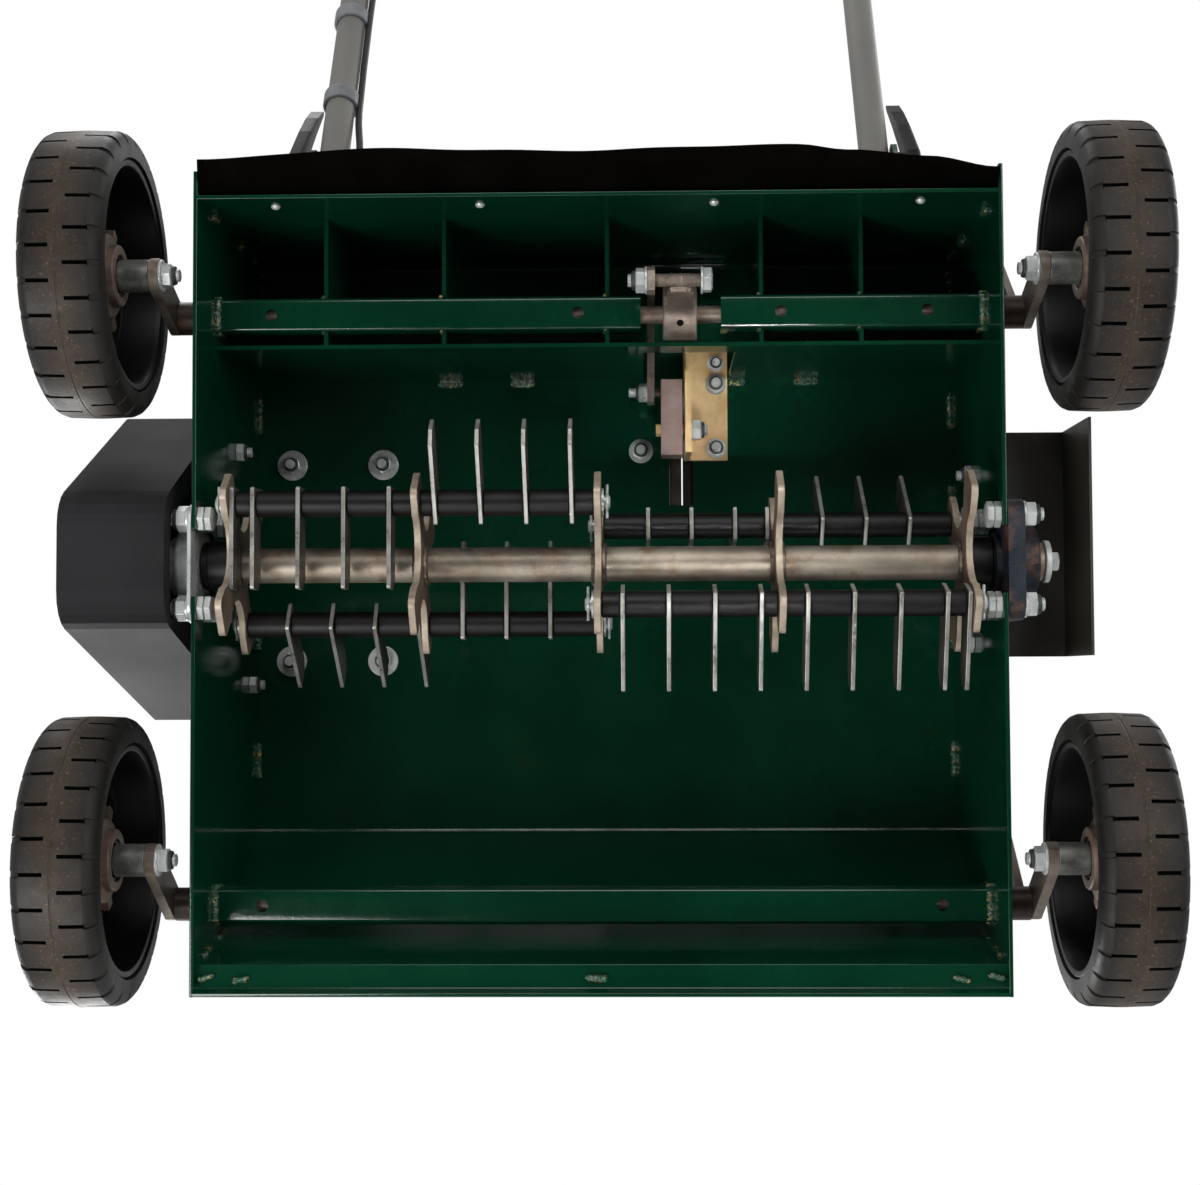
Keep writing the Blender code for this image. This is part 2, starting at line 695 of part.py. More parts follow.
# Black plastic sleeves that keep grass off the shaft between the end plates and the bearings
sleeve_in = END_PLATE_X + PLATE_THICK / 2 + GAP
sleeve_bore = clear(SHAFT_RADIUS)
for side, name in ((1, "end_sleeve_left"), (-1, "end_sleeve_right")):
    ends = sorted((side * sleeve_in, side * HALF_WIDTH), reverse=True)
    sleeve_profile = [(END_SLEEVE_RADIUS, ends[0]), (END_SLEEVE_RADIUS, ends[1]),
                      (sleeve_bore, ends[1]), (sleeve_bore, ends[0])]
    piece(name, turned(sleeve_profile, along(0.0), ROTOR_Z, ring=True), BLACK_PLASTIC, hold=rotor_axis)

# Four rods through the lobes, two in each half
RODS = {"left_upper": (0.0, 1), "left_lower": (0.0, 1), "right_lower": (0.0, -1), "right_upper": (0.0, -1)}
for where, (middle_x, side) in RODS.items():
    y, z = rod_place(ROD_ANGLES[where])
    inner_x = middle_x - side * (PLATE_THICK / 2 + ROD_OVERHANG)
    outer_x = side * (END_PLATE_X + PLATE_THICK / 2 + ROD_OVERHANG)
    piece("blade_rod_" + where, rod((inner_x, y, z), (outer_x, y, z), ROD_RADIUS, SMALL_ROUND), BRIGHT_ZINC,
          hold=rotor_axis)


def blade_outline(y, z, direction):
    """One blade about its hole; the direction runs from +Y towards +Z."""
    half = BLADE_WIDTH / 2
    turn = math.radians(direction)
    corners = [(-BLADE_TAIL, half), (-BLADE_TAIL, -half), (BLADE_REACH - BLADE_BEVEL, -half),
               (BLADE_REACH, BLADE_BEVEL - half), (BLADE_REACH, half)]
    return [(y + u * math.cos(turn) - v * math.sin(turn), z + u * math.sin(turn) + v * math.cos(turn))
            for u, v in corners]


# Each bay between two plates holds blades and spacer sleeves that share one angle
plate_face = PLATE_THICK / 2 + GAP
blade_seat = plate_face + BLADE_THICK / 2 + GAP
inner_bay = (plate_face, MIDDLE_PLATE_X - plate_face)
outer_bay = (MIDDLE_PLATE_X + plate_face, END_PLATE_X - plate_face)


def row_of_blades(first, bay, side, extra=()):
    """The places of one rod's blades that fit in a bay, with any blade that lies against a plate."""
    row = [first - BLADE_PITCH * number for number in range(round(4 * END_PLATE_X / BLADE_PITCH))]
    reach = BLADE_THICK / 2 + GAP
    room = [x for x in row if bay[0] + reach <= side * x <= bay[1] - reach]
    return [x for x in room if all(abs(x - other) > 2 * reach for other in extra)] + list(extra)


end_seat = END_PLATE_X - blade_seat
middle_seat = MIDDLE_PLATE_X + blade_seat
GANGS = {
    "gang_left_upper_outer": ("left_upper", row_of_blades(LEFT_UPPER_FIRST, outer_bay, 1, [end_seat]), 180.0),
    "gang_left_upper_inner": ("left_upper", row_of_blades(LEFT_UPPER_FIRST, inner_bay, 1), -35.0),
    "gang_left_lower_outer": ("left_lower", row_of_blades(LEFT_LOWER_FIRST, outer_bay, 1, [middle_seat]), 128.0),
    "gang_left_lower_inner": ("left_lower", row_of_blades(LEFT_LOWER_FIRST, inner_bay, 1), 0.0),
    "gang_right_lower_inner": ("right_lower", row_of_blades(RIGHT_LOWER_FIRST, inner_bay, -1), 162.0),
    "gang_right_lower_outer": ("right_lower", row_of_blades(RIGHT_LOWER_FIRST, outer_bay, -1, [-end_seat]), 162.0),
    "gang_right_upper_inner": ("right_upper", row_of_blades(RIGHT_UPPER_FIRST, inner_bay, -1,
                                                            [blade_seat - MIDDLE_PLATE_X]), 96.0),
    "gang_right_upper_outer": ("right_upper", row_of_blades(RIGHT_UPPER_FIRST, outer_bay, -1), 55.0),
}
for name, (where, places, direction) in GANGS.items():
    y, z = rod_place(ROD_ANGLES[where])
    side = 1 if where.startswith("left") else -1
    bay = outer_bay if name.endswith("outer") else inner_bay
    low_x, high_x = sorted((side * bay[0], side * bay[1]))
    pin_axis = axis(name + "_axis", (low_x + high_x) / 2, y, z, rotor_axis)
    blades = [plate(blade_outline(y, z, direction), x, BLADE_THICK) for x in places]
    bore = rod((low_x - PAST, y, z), (high_x + PAST, y, z), clear(ROD_RADIUS, SMALL_ROUND), SMALL_ROUND)
    spacer = rod((low_x, y, z), (high_x, y, z), SLEEVE_RADIUS, SMALL_ROUND)
    piece(name, spacer, BRIGHT_ZINC, blades, [bore], pin_axis)


# Flanged bearings on the outside of the side walls, with the shaft running through them
bearing_names = ((1, "bearing_left", BRIGHT_ZINC), (-1, "bearing_right", DARK_IRON))
bore_line = [(x, along(0.0), ROTOR_Z) for x in (-SHAFT_END_LEFT, SHAFT_END_LEFT)]
bearing_bore = rod(*bore_line, clear(SHAFT_RADIUS))
for side, name, look in bearing_names:
    face = HALF_WIDTH + GAP
    half = BEARING_SIDE / 2
    square = [(along(-half), ROTOR_Z - half), (along(half), ROTOR_Z - half),
              (along(half), ROTOR_Z + half), (along(-half), ROTOR_Z + half)]
    flange = plate(rounded(square, BEARING_CORNER, 3), side * (face + BEARING_FLANGE / 2), BEARING_FLANGE)
    root, shoulder = face + BEARING_FLANGE / 2, face + BEARING_FLANGE + BEARING_BODY
    steps = [(0.0, shoulder + BEARING_NOSE), (BEARING_NOSE_RADIUS, shoulder + BEARING_NOSE),
             (BEARING_NOSE_RADIUS, shoulder), (BEARING_BODY_RADIUS, shoulder - BEARING_SLOPE),
             (BEARING_BODY_RADIUS + BEARING_SLOPE, root), (0.0, root)]
    profile = steps if side > 0 else [(radius, -x) for radius, x in reversed(steps)]
    piece(name, flange, look, [turned(profile, along(0.0), ROTOR_Z)], [bearing_bore])


# Belt drive: rotor pulley, engine pulley and the belt in their grooves
def pulley(name, y, z, radius, look, hold, shaft=None):
    """A flat-bottomed pulley with a belt groove, bored for its shaft or joined to it."""
    half, groove = PULLEY_WIDTH / 2, BELT_WIDTH / 2 + GROOVE_PLAY
    outer = [(radius, BELT_X + half), (radius, BELT_X + groove), (radius - GROOVE_DEPTH, BELT_X + groove),
             (radius - GROOVE_DEPTH, BELT_X - groove), (radius, BELT_X - groove), (radius, BELT_X - half)]
    if shaft:
        profile = [(0.0, BELT_X + half)] + outer + [(0.0, BELT_X - half)]
        return piece(name, turned(profile, y, z), look, [shaft], hold=hold)
    bore = clear(SHAFT_RADIUS)
    profile = outer + [(bore, BELT_X - half), (bore, BELT_X + half)]
    return piece(name, turned(profile, y, z, ring=True), look, hold=hold)


CRANK_Z = TOP_FACE_Z + CRANK_HEIGHT
engine_y = along(ENGINE_Y)
crank_axis = axis("crank_axis", 0.0, engine_y, CRANK_Z)
crank_ends = [(x, engine_y, CRANK_Z) for x in (ENGINE_FACE_X - CRANK_DEPTH, SHAFT_END_LEFT)]
crank_shaft = rod(*crank_ends, SHAFT_RADIUS)
pulley("rotor_pulley", along(0.0), ROTOR_Z, ROTOR_PULLEY_RADIUS, CAST_ALLOY, rotor_axis)
pulley("engine_pulley", engine_y, CRANK_Z, ENGINE_PULLEY_RADIUS, CAST_ALLOY, crank_axis, crank_shaft)


def belt_loop(play):
    """The loop round both pulleys at a distance from their groove floors."""
    low = Vector((along(0.0), ROTOR_Z))
    high = Vector((engine_y, CRANK_Z))
    low_radius = ROTOR_PULLEY_RADIUS - GROOVE_DEPTH + play
    high_radius = ENGINE_PULLEY_RADIUS - GROOVE_DEPTH + play
    line = high - low
    heading = math.degrees(math.atan2(line.y, line.x))
    tilt = math.degrees(math.acos((low_radius - high_radius) / line.length))
    return (arc(*high, high_radius, heading - tilt, heading + tilt, BELT_STEPS)
            + arc(*low, low_radius, heading + tilt, heading - tilt + 360.0, BELT_STEPS))


belt_play = RUN * 2
belt = plate(belt_loop(belt_play + BELT_THICK), BELT_X, BELT_WIDTH, [belt_loop(belt_play)])
piece("drive_belt", belt, BLACK_RUBBER)

# Belt cover: a folded pan with a return lip, bolted to the wall on posts
cover_low = ROTOR_Z - COVER_DROP
cover_high = CRANK_Z + ENGINE_PULLEY_RADIUS + COVER_CROWN
cover_corners = [
    (along(COVER_SOLE_Y[0]), cover_low), (along(COVER_SOLE_Y[1]), cover_low),
    (along(COVER_SIDE_Y[1]), ROTOR_Z + COVER_KNEE[1]), (along(COVER_SIDE_Y[1]), cover_high),
    (along(COVER_SIDE_Y[0]), cover_high), (along(COVER_SIDE_Y[0]), ROTOR_Z + COVER_KNEE[0]),
]
pan = plate(rounded(cover_corners, COVER_CORNER), (COVER_IN_X + COVER_OUT_X) / 2, COVER_OUT_X - COVER_IN_X)
hollow_in = COVER_IN_X + COVER_SHEET
hollow_out = COVER_OUT_X - COVER_SHEET
hollow = plate(rounded(inset(cover_corners, COVER_SHEET), COVER_CORNER - COVER_SHEET),
               (hollow_in + hollow_out) / 2, hollow_out - hollow_in)
mouth = plate(rounded(inset(cover_corners, COVER_LIP), COVER_MOUTH_CORNER), COVER_IN_X, PAST)
post_ends = (HALF_WIDTH + GAP, COVER_IN_X + COVER_SHEET / 2)
posts = [rod(*[(x, along(y), ROTOR_Z + rise) for x in post_ends], COVER_POST_RADIUS, SMALL_ROUND)
         for y, rise in COVER_POSTS]
piece("belt_cover", pan, CHARCOAL_SHEET, posts, [hollow, mouth])

# Bent steel guard over the right bearing
guard_wall_x = -HALF_WIDTH - GAP - GUARD_SHEET / 2
guard_profile = [(guard_wall_x, GUARD_WEB_Z + GUARD_FLANGE), (guard_wall_x, GUARD_WEB_Z),
                 (GUARD_X, GUARD_WEB_Z), (GUARD_X, GUARD_SKIRT_Z)]
guard = sheet(guard_profile, along(GUARD_FRONT_Y), along(GUARD_REAR_Y), GUARD_SHEET, "Y")
piece("side_guard", guard, OLIVE_SHEET)


# Wheels: a rubber tyre on a deep dished rim, turning on a stub axle
def wheel(name, side, y, hold):
    """Tyre and rim as two nodes on one axis empty."""
    place = along(y)
    in_x, out_x = WHEEL_IN_X, WHEEL_IN_X + WHEEL_WIDTH
    spin = axis(name + "_axis", side * (in_x + out_x) / 2, place, WHEEL_RADIUS, hold)
    rim_out = RIM_RADIUS - GAP - RUN
    shoulder = WHEEL_RADIUS - TYRE_SHOULDER[0]
    tyre = [(shoulder, out_x), (WHEEL_RADIUS, out_x - TYRE_SHOULDER[1]),
            (WHEEL_RADIUS, in_x + TYRE_SHOULDER[1]), (shoulder, in_x), (RIM_RADIUS, in_x), (RIM_RADIUS, out_x)]
    web_x = out_x - WEB_DEPTH
    drum = rim_out - RIM_WALL
    drum_root = drum - RIM_TAPER
    bore = clear(STUB_RADIUS)
    hub_out = out_x - HUB_SINK
    rim = [(rim_out, out_x - RIM_SINK), (rim_out, in_x + RIM_SINK), (drum, in_x + RIM_SINK),
           (drum_root, web_x - WEB_THICK), (HUB_RADIUS + HUB_FLARE, web_x - WEB_THICK / 2),
           (HUB_RADIUS + HUB_STEP, HUB_IN_X + HUB_SINK), (HUB_RADIUS, HUB_IN_X), (bore, HUB_IN_X),
           (bore, hub_out), (HUB_RADIUS, hub_out), (HUB_RADIUS + HUB_FLARE, web_x), (drum_root, web_x),
           (drum, out_x - RIM_SINK)]
    rings = (("_tyre", tyre, BLACK_RUBBER, TYRE_ROUND), ("_rim", rim, CAST_ALLOY, ROUND))
    for part, profile, look, steps in rings:
        places = profile if side > 0 else [(radius, -x) for radius, x in reversed(profile)]
        piece(name + part, turned(places, place, WHEEL_RADIUS, ring=True, steps=steps), look, hold=spin)


def arm(side, axle, wheel_place):
    """A flat arm from the cross shaft to the stub axle, with the stub welded in it."""
    middle = side * (ARM_X + ARM_THICK / 2)
    stub = rod((side * (ARM_X - STUB_INNER_END), *wheel_place),
               (side * (WHEEL_IN_X + WHEEL_WIDTH - STUB_OUTER_END), *wheel_place), STUB_RADIUS, SMALL_ROUND)
    spacer = rod((side * (ARM_X + BITE), *wheel_place), (side * (HUB_IN_X - GAP), *wheel_place),
                 SPACER_RADIUS, SMALL_ROUND)
    return [plate(strap([axle, wheel_place], ARM_WIDTH / 2), middle, ARM_THICK), stub, spacer]


def crank(axle):
    """The crank on the right end of a cross shaft, with its pin for the tie rod."""
    tip = (axle[0] + CRANK_OUT, axle[1] + CRANK_UP)
    pin = rod((CRANK_X - CRANK_THICK / 2, *tip), (CRANK_X + CRANK_THICK / 2 + GAP + TIE_THICK + PIN_END, *tip),
              PIN_RADIUS, SMALL_ROUND)
    return [plate(strap([axle, tip], CRANK_WIDTH / 2), CRANK_X, CRANK_THICK), pin]


def cross_shaft(axle):
    end = ARM_X + ARM_THICK
    return rod((-end, *axle), (end, *axle), AXLE_RADIUS, SMALL_ROUND)


rear_axle_place = (along(REAR_AXLE_Y), AXLE_Z)
front_axle_place = (along(FRONT_AXLE_Y), AXLE_Z)
rear_wheel_place = (along(REAR_WHEEL_Y), WHEEL_RADIUS)
front_wheel_place = (along(FRONT_WHEEL_Y), WHEEL_RADIUS)
tongue_pin = (along(TONGUE_Y), TONGUE_Z)
rear_axis = axis("rear_axle_axis", 0.0, *rear_axle_place)
front_axis = axis("front_axle_axis", 0.0, *front_axle_place)
collar_ends = (COLLAR_X - COLLAR_WIDTH / 2, COLLAR_X + COLLAR_WIDTH / 2)
collar = rod((collar_ends[0], *rear_axle_place), (collar_ends[1], *rear_axle_place), COLLAR_RADIUS)
tongue = plate(strap([rear_axle_place, tongue_pin], TONGUE_WIDTH / 2), COLLAR_X, TONGUE_THICK)
tongue_bolt = rod((TONGUE_BOLT_RIGHT, *tongue_pin), (TONGUE_BOLT_LEFT, *tongue_pin), BOLT_RADIUS, SMALL_ROUND)
rear_parts = arm(1, rear_axle_place, rear_wheel_place) + arm(-1, rear_axle_place, rear_wheel_place)
rear_parts += crank(rear_axle_place) + [collar, tongue, tongue_bolt]
front_parts = arm(1, front_axle_place, front_wheel_place) + arm(-1, front_axle_place, front_wheel_place)
front_parts += crank(front_axle_place)
piece("rear_axle", cross_shaft(rear_axle_place), BROWN_STEEL, rear_parts, hold=rear_axis)
piece("front_axle", cross_shaft(front_axle_place), BROWN_STEEL, front_parts, hold=front_axis)
wheel("wheel_rear_left", 1, REAR_WHEEL_Y, rear_axis)
wheel("wheel_rear_right", -1, REAR_WHEEL_Y, rear_axis)
wheel("wheel_front_left", 1, FRONT_WHEEL_Y, front_axis)
wheel("wheel_front_right", -1, FRONT_WHEEL_Y, front_axis)

# Tie rod between the two cranks
tie_ends = [(place[0] + CRANK_OUT, place[1] + CRANK_UP) for place in (front_axle_place, rear_axle_place)]
tie_x = CRANK_X + CRANK_THICK / 2 + GAP + TIE_THICK / 2
tie_axis = axis("tie_rod_axis", tie_x, *tie_ends[1], rear_axis)
pin_hole = clear(PIN_RADIUS, SMALL_ROUND)
tie_holes = [circle(*end, pin_hole) for end in tie_ends]
piece("tie_rod", plate(strap(tie_ends, TIE_WIDTH / 2), tie_x, TIE_THICK, tie_holes), BROWN_STEEL, hold=tie_axis)

# Height lever on its bracket, and the link down to the rear axle's tongue
pivot = (along(LEVER_PIVOT_Y), LEVER_PIVOT_Z)
lever_pin = (along(LEVER_PIN_Y), LEVER_PIN_Z)
lever_axis = axis("height_lever_axis", LEVER_BLOCK_RIGHT, *pivot)
block = box((LEVER_BLOCK_RIGHT, along(LEVER_BLOCK_FRONT_Y), LEVER_BLOCK_LOW_Z),
            (LEVER_BLOCK_LEFT, along(LEVER_BLOCK_REAR_Y), LEVER_BLOCK_LOW_Z + LEVER_BLOCK_HEIGHT))
lean = math.radians(LEVER_LEAN)
lever_top = (pivot[0] + LEVER_LENGTH * math.sin(lean), pivot[1] + LEVER_LENGTH * math.cos(lean))
bar_x = LEVER_BLOCK_RIGHT + LEVER_THICK / 2
bar = plate(strap([pivot, lever_top], LEVER_WIDTH / 2), bar_x, LEVER_THICK)
knob = rod((bar_x - KNOB_HALF, *lever_top), (bar_x + KNOB_HALF, *lever_top), KNOB_RADIUS, SMALL_ROUND)
link_pin = rod((LEVER_BLOCK_LEFT - LOOSE, *lever_pin), (LINK_X + LINK_THICK, *lever_pin), PIN_RADIUS,
               SMALL_ROUND)
pivot_bore = rod((BRACKET_OUT_X, *pivot), (0.0, *pivot), clear(BOLT_RADIUS, SMALL_ROUND), SMALL_ROUND)
piece("height_lever", block, BROWN_STEEL, [bar, knob, link_pin], [pivot_bore], lever_axis)
link_axis = axis("height_link_axis", LINK_X, *tongue_pin, rear_axis)
link_path = [tongue_pin, (along(LINK_KNEE_Y), LINK_KNEE_Z), lever_pin]
link_holes = [circle(*tongue_pin, clear(BOLT_RADIUS, SMALL_ROUND)), circle(*lever_pin, PIN_RADIUS + LOOSE)]
piece("height_link", plate(strap(link_path, LINK_WIDTH / 2), LINK_X, LINK_THICK, link_holes), BROWN_STEEL,
      hold=link_axis)
flange = box((BRACKET_IN_X - BRACKET_THICK, along(BRACKET_FRONT_Y), BRACKET_LOW_Z),
             (BRACKET_IN_X, along(BRACKET_REAR_Y), ROOF_Z - GAP))
base = box((BRACKET_OUT_X, along(BRACKET_FRONT_Y), ROOF_Z - GAP - BRACKET_THICK),
           (BRACKET_IN_X, along(BRACKET_REAR_Y + BRACKET_TAIL), ROOF_Z - GAP))
pivot_bolt = rod((BRACKET_IN_X - BRACKET_THICK - PIVOT_BOLT_ENDS[0], *pivot),
                 (LEVER_BLOCK_LEFT + PIVOT_BOLT_ENDS[1], *pivot), BOLT_RADIUS, SMALL_ROUND)
piece("height_bracket", flange, GOLD_ZINC, [base, pivot_bolt])

# Handle: one bent tube on two ears, folding about the bolts of the clamp levers
slope = math.tan(math.radians(HANDLE_SLOPE))
fold_place = (along(FOLD_Y), FOLD_Z)
fold_axis = axis("handle_fold_axis", 0.0, *fold_place)
foot = (along(HANDLE_FOOT_Y), FOLD_Z - (FOLD_Y - HANDLE_FOOT_Y) * slope)
knee = (along(HANDLE_KNEE_Y), FOLD_Z + (HANDLE_KNEE_Y - FOLD_Y) * slope)
top = (along(HANDLE_TOP_Y), HANDLE_TOP_Z)
left_side = [(HANDLE_X, *foot), (HANDLE_X, *knee), (HANDLE_X, *top)]
handle_path = left_side + [(-x, y, z) for x, y, z in reversed(left_side)]
pin_cut = rod((-HALF_WIDTH, *fold_place), (HALF_WIDTH, *fold_place), pin_hole, SMALL_ROUND)
piece("handlebar", tube(rounded(handle_path, HANDLE_BEND, 5, closed=False), HANDLE_RADIUS, 3), GREY_TUBE,
      cut=[pin_cut], hold=fold_axis)

ear_in = HANDLE_X + HANDLE_RADIUS + GAP * 2
ear_low = TOP_FACE_Z + GAP
ear_edge = ear_low + BITE
ear_outline = [(along(EAR_FOOT_Y), ear_edge), (along(REAR_FACE_Y), ear_edge), (fold_place[0], FOLD_Z - EAR_EYE)]
ear_outline += arc(*fold_place, EAR_EYE, -90.0, 90.0, 6)[1:]
ear_outline += [(along(REAR_FACE_Y), ear_low + 2 * EAR_RISE), (along(EAR_FOOT_Y), ear_low + EAR_RISE)]
clamp_in = ear_in + EAR_THICK + GAP
clamp_turn = math.radians(CLAMP_SLOPE)
clamp_tip = (fold_place[0] + CLAMP_LENGTH * math.cos(clamp_turn), FOLD_Z + CLAMP_LENGTH * math.sin(clamp_turn))
for side, name in ((1, "left"), (-1, "right")):
    ear = plate(ear_outline, side * (ear_in + EAR_THICK / 2), EAR_THICK)
    foot_ends = sorted((side * (ear_in + EAR_THICK / 2), side * (ear_in - EAR_FOOT_WIDTH)))
    ear_foot = box((foot_ends[0], along(EAR_FOOT_Y + LOOSE), ear_low),
                   (foot_ends[1], along(REAR_FACE_Y - LOOSE), ear_low + EAR_THICK))
    fold_bolt = rod((side * (HANDLE_X - HANDLE_RADIUS - PIN_END), *fold_place),
                    (side * (clamp_in + CLAMP_THICK + PIN_END), *fold_place), PIN_RADIUS, SMALL_ROUND)
    piece("handle_ear_" + name, ear, GREEN_PAINT, [ear_foot, fold_bolt])
    clamp_axis = axis("clamp_axis_" + name, side * clamp_in, *fold_place)
    clamp_x = side * (clamp_in + CLAMP_THICK / 2)
    clamp_out = clamp_in + CLAMP_THICK
    head = rod((side * clamp_in, *fold_place), (side * clamp_out, *fold_place), CLAMP_PIVOT_RADIUS, SMALL_ROUND)
    blade = plate(strap([fold_place, clamp_tip], CLAMP_BLADE_HALF), clamp_x, CLAMP_BLADE_THICK)
    clamp_bore = rod((side * (clamp_in - PAST), *fold_place), (side * (clamp_out + PAST), *fold_place), pin_hole,
                     SMALL_ROUND)
    piece("clamp_lever_" + name, head, BLACK_PLASTIC, [blade], [clamp_bore], clamp_axis)

# Soft grip, safety bail and throttle at the top of the handle
grip = rod((-GRIP_LENGTH / 2, *top), (GRIP_LENGTH / 2, *top), GRIP_RADIUS)
grip_bore = rod((-GRIP_LENGTH, *top), (GRIP_LENGTH, *top), clear(HANDLE_RADIUS, ROUND, GAP))
piece("handle_grip", grip, BLACK_RUBBER, cut=[grip_bore], hold=fold_axis)
climb = Vector((top[0] - knee[0], top[1] - knee[1])).normalized()
climb_angle = math.atan2(climb.y, climb.x)


def down_the_handle(distance):
    """A place on the upper part of the tube, measured down from the grip."""
    return top[0] - climb.x * distance, top[1] - climb.y * distance


bail_foot = down_the_handle(BAIL_DROP)
bail_turn = climb_angle + math.radians(BAIL_OPEN)
bail_top = (bail_foot[0] + BAIL_REACH * math.cos(bail_turn), bail_foot[1] + BAIL_REACH * math.sin(bail_turn))
bail_axis = axis("safety_bail_axis", 0.0, *bail_foot, fold_axis)
bail_end = HANDLE_X - HANDLE_RADIUS - GAP * 2
bail_half = [(bail_end, *bail_foot), (BAIL_X, *bail_foot), (BAIL_X, *bail_top)]
bail_path = bail_half + [(-x, y, z) for x, y, z in reversed(bail_half)]
bail_route = rounded(bail_path, BAIL_BEND, 4, closed=False)
piece("safety_bail", tube(bail_route, BAIL_WIRE), BRIGHT_ZINC, hold=bail_axis)

throttle_place = down_the_handle(THROTTLE_DROP)
throttle_x = HANDLE_X - HANDLE_RADIUS - GAP * 2
width, length, height = THROTTLE_HOUSING
housing = box((throttle_x - width, throttle_place[0] - length / 2, throttle_place[1] - height / 2),
              (throttle_x, throttle_place[0] + length / 2, throttle_place[1] + height / 2), THROTTLE_EDGE)
throttle_pin = rod((throttle_x - width - THROTTLE_ARM_THICK - PIN_END, *throttle_place),
                   (throttle_x - LOOSE, *throttle_place), PIN_RADIUS, SMALL_ROUND)
piece("throttle_housing", housing, BLACK_PLASTIC, [throttle_pin], hold=fold_axis)
throttle_axis = axis("throttle_axis", throttle_x - width, *throttle_place, fold_axis)
thumb = (throttle_place[0] - THUMB_LEAN * THROTTLE_ARM, throttle_place[1] + THROTTLE_ARM)
lever_x = throttle_x - width - GAP - THROTTLE_ARM_THICK / 2
thumb_lever = plate(strap([throttle_place, thumb], THROTTLE_ARM_WIDTH / 2), lever_x, THROTTLE_ARM_THICK,
                    [circle(*throttle_place, pin_hole)])
piece("throttle_lever", thumb_lever, BLACK_PLASTIC, hold=throttle_axis)

# Throttle cable: down the inside of the left tube, across at the fold line, then over the deck to the engine.
# The two lengths meet end to end on the fold line, each with a straight end square to it.
cable_x = HANDLE_X - HANDLE_RADIUS - CABLE_RADIUS - BITE
cable_start = (throttle_place[0] - length / 2 - GAP, throttle_place[1] - CABLE_EXIT_DROP)
join_x = HANDLE_X - HANDLE_RADIUS - CABLE_JOIN_IN
upper_end = (join_x, *fold_place)
lower_end = (join_x - GAP * 2, *fold_place)
upper_route = [
    (cable_x - 0.004, cable_start[0] - 0.006, cable_start[1]),
    (cable_x - 0.004, cable_start[0] - 0.026, cable_start[1] - 0.014),
    (cable_x, knee[0] + 0.060, knee[1] + 0.060), (cable_x, knee[0], knee[1]),
    (cable_x, fold_place[0] + 0.060, FOLD_Z + 0.060 * slope),
    (cable_x - 0.004, fold_place[0] + 0.028, FOLD_Z + 0.016),
    (cable_x - 0.008, fold_place[0] + 0.004, FOLD_Z), (join_x + CABLE_END, *fold_place),
]
lower_route = [
    (join_x - CABLE_END, *fold_place), (join_x - 0.014, fold_place[0] - 0.002, FOLD_Z),
    (join_x - 0.040, fold_place[0] - 0.020, FOLD_Z + 0.006),
    (join_x - 0.050, along(0.235), TOP_FACE_Z + 0.030), (join_x - 0.050, along(0.190), TOP_FACE_Z + 0.070),
    (join_x - 0.045, along(0.150), TOP_FACE_Z + 0.125), (join_x - 0.030, along(0.110), TOP_FACE_Z + 0.145),
]


def eased(route, steps=3):
    """A smooth curve through the route's points."""
    points = [Vector(place) for place in route]
    path = []
    for index in range(len(points) - 1):
        before = points[max(index - 1, 0)]
        after = points[min(index + 2, len(points) - 1)]
        start, end = points[index], points[index + 1]
        for step in range(steps):
            t = step / steps
            leave = (end - before).normalized() * (end - start).length
            arrive = (after - start).normalized() * (end - start).length
            path.append((2 * t ** 3 - 3 * t ** 2 + 1) * start + (t ** 3 - 2 * t ** 2 + t) * leave
                        + (3 * t ** 2 - 2 * t ** 3) * end + (t ** 3 - t ** 2) * arrive)
    return [tuple(point) for point in path + [points[-1]]]


cable_exit = (cable_x - 0.004, *cable_start)
upper_cable = tube([cable_exit] + eased(upper_route) + [upper_end], CABLE_RADIUS)
piece("throttle_cable_upper", upper_cable, BLACK_PLASTIC, hold=fold_axis)
piece("throttle_cable_lower", tube([lower_end] + eased(lower_route), CABLE_RADIUS), BLACK_PLASTIC)

# Engine: base and crankcase with a leaning cylinder, fan housing, recoil starter, tank, muffler and air cleaner
engine_low = TOP_FACE_Z + GAP
base_block = box((ENGINE_X - ENGINE_BASE_X / 2, engine_y - ENGINE_BASE_Y / 2, engine_low),
                 (ENGINE_X + ENGINE_BASE_X / 2, engine_y + ENGINE_BASE_Y / 2, engine_low + ENGINE_FOOT),
                 FOOT_EDGE)
case = box((CASE_BACK_X, engine_y - CASE_DEPTH / 2, engine_low + ENGINE_FOOT / 2),
           (ENGINE_FACE_X - BOSS_RISE, engine_y + CASE_DEPTH / 2, engine_low + CASE_HEIGHT), CASE_EDGE)
boss_ends = [(x, engine_y, CRANK_Z) for x in (ENGINE_FACE_X - BOSS_RISE * 2, ENGINE_FACE_X)]
shaft_boss = rod(*boss_ends, BOSS_RADIUS)
cylinder_turn = math.radians(CYLINDER_LEAN)
cylinder_mid_x = (CASE_BACK_X + ENGINE_FACE_X) / 2
cylinder_half = CYLINDER_SIDE / 2
cylinder = box((-cylinder_half, -cylinder_half, 0.0), (cylinder_half, cylinder_half, CYLINDER_LENGTH),
               CYLINDER_EDGE)
cylinder_middle = CYLINDER_START + CYLINDER_LENGTH / 2
cylinder.location = (cylinder_mid_x, engine_y - math.sin(cylinder_turn) * cylinder_middle,
                     CRANK_Z + math.cos(cylinder_turn) * cylinder_middle)
cylinder.rotation_euler = (cylinder_turn, 0.0, 0.0)
crank_bore = rod((ENGINE_FACE_X - CRANK_DEPTH - BITE, engine_y, CRANK_Z),
                 (ENGINE_FACE_X + PAST, engine_y, CRANK_Z), clear(SHAFT_RADIUS))
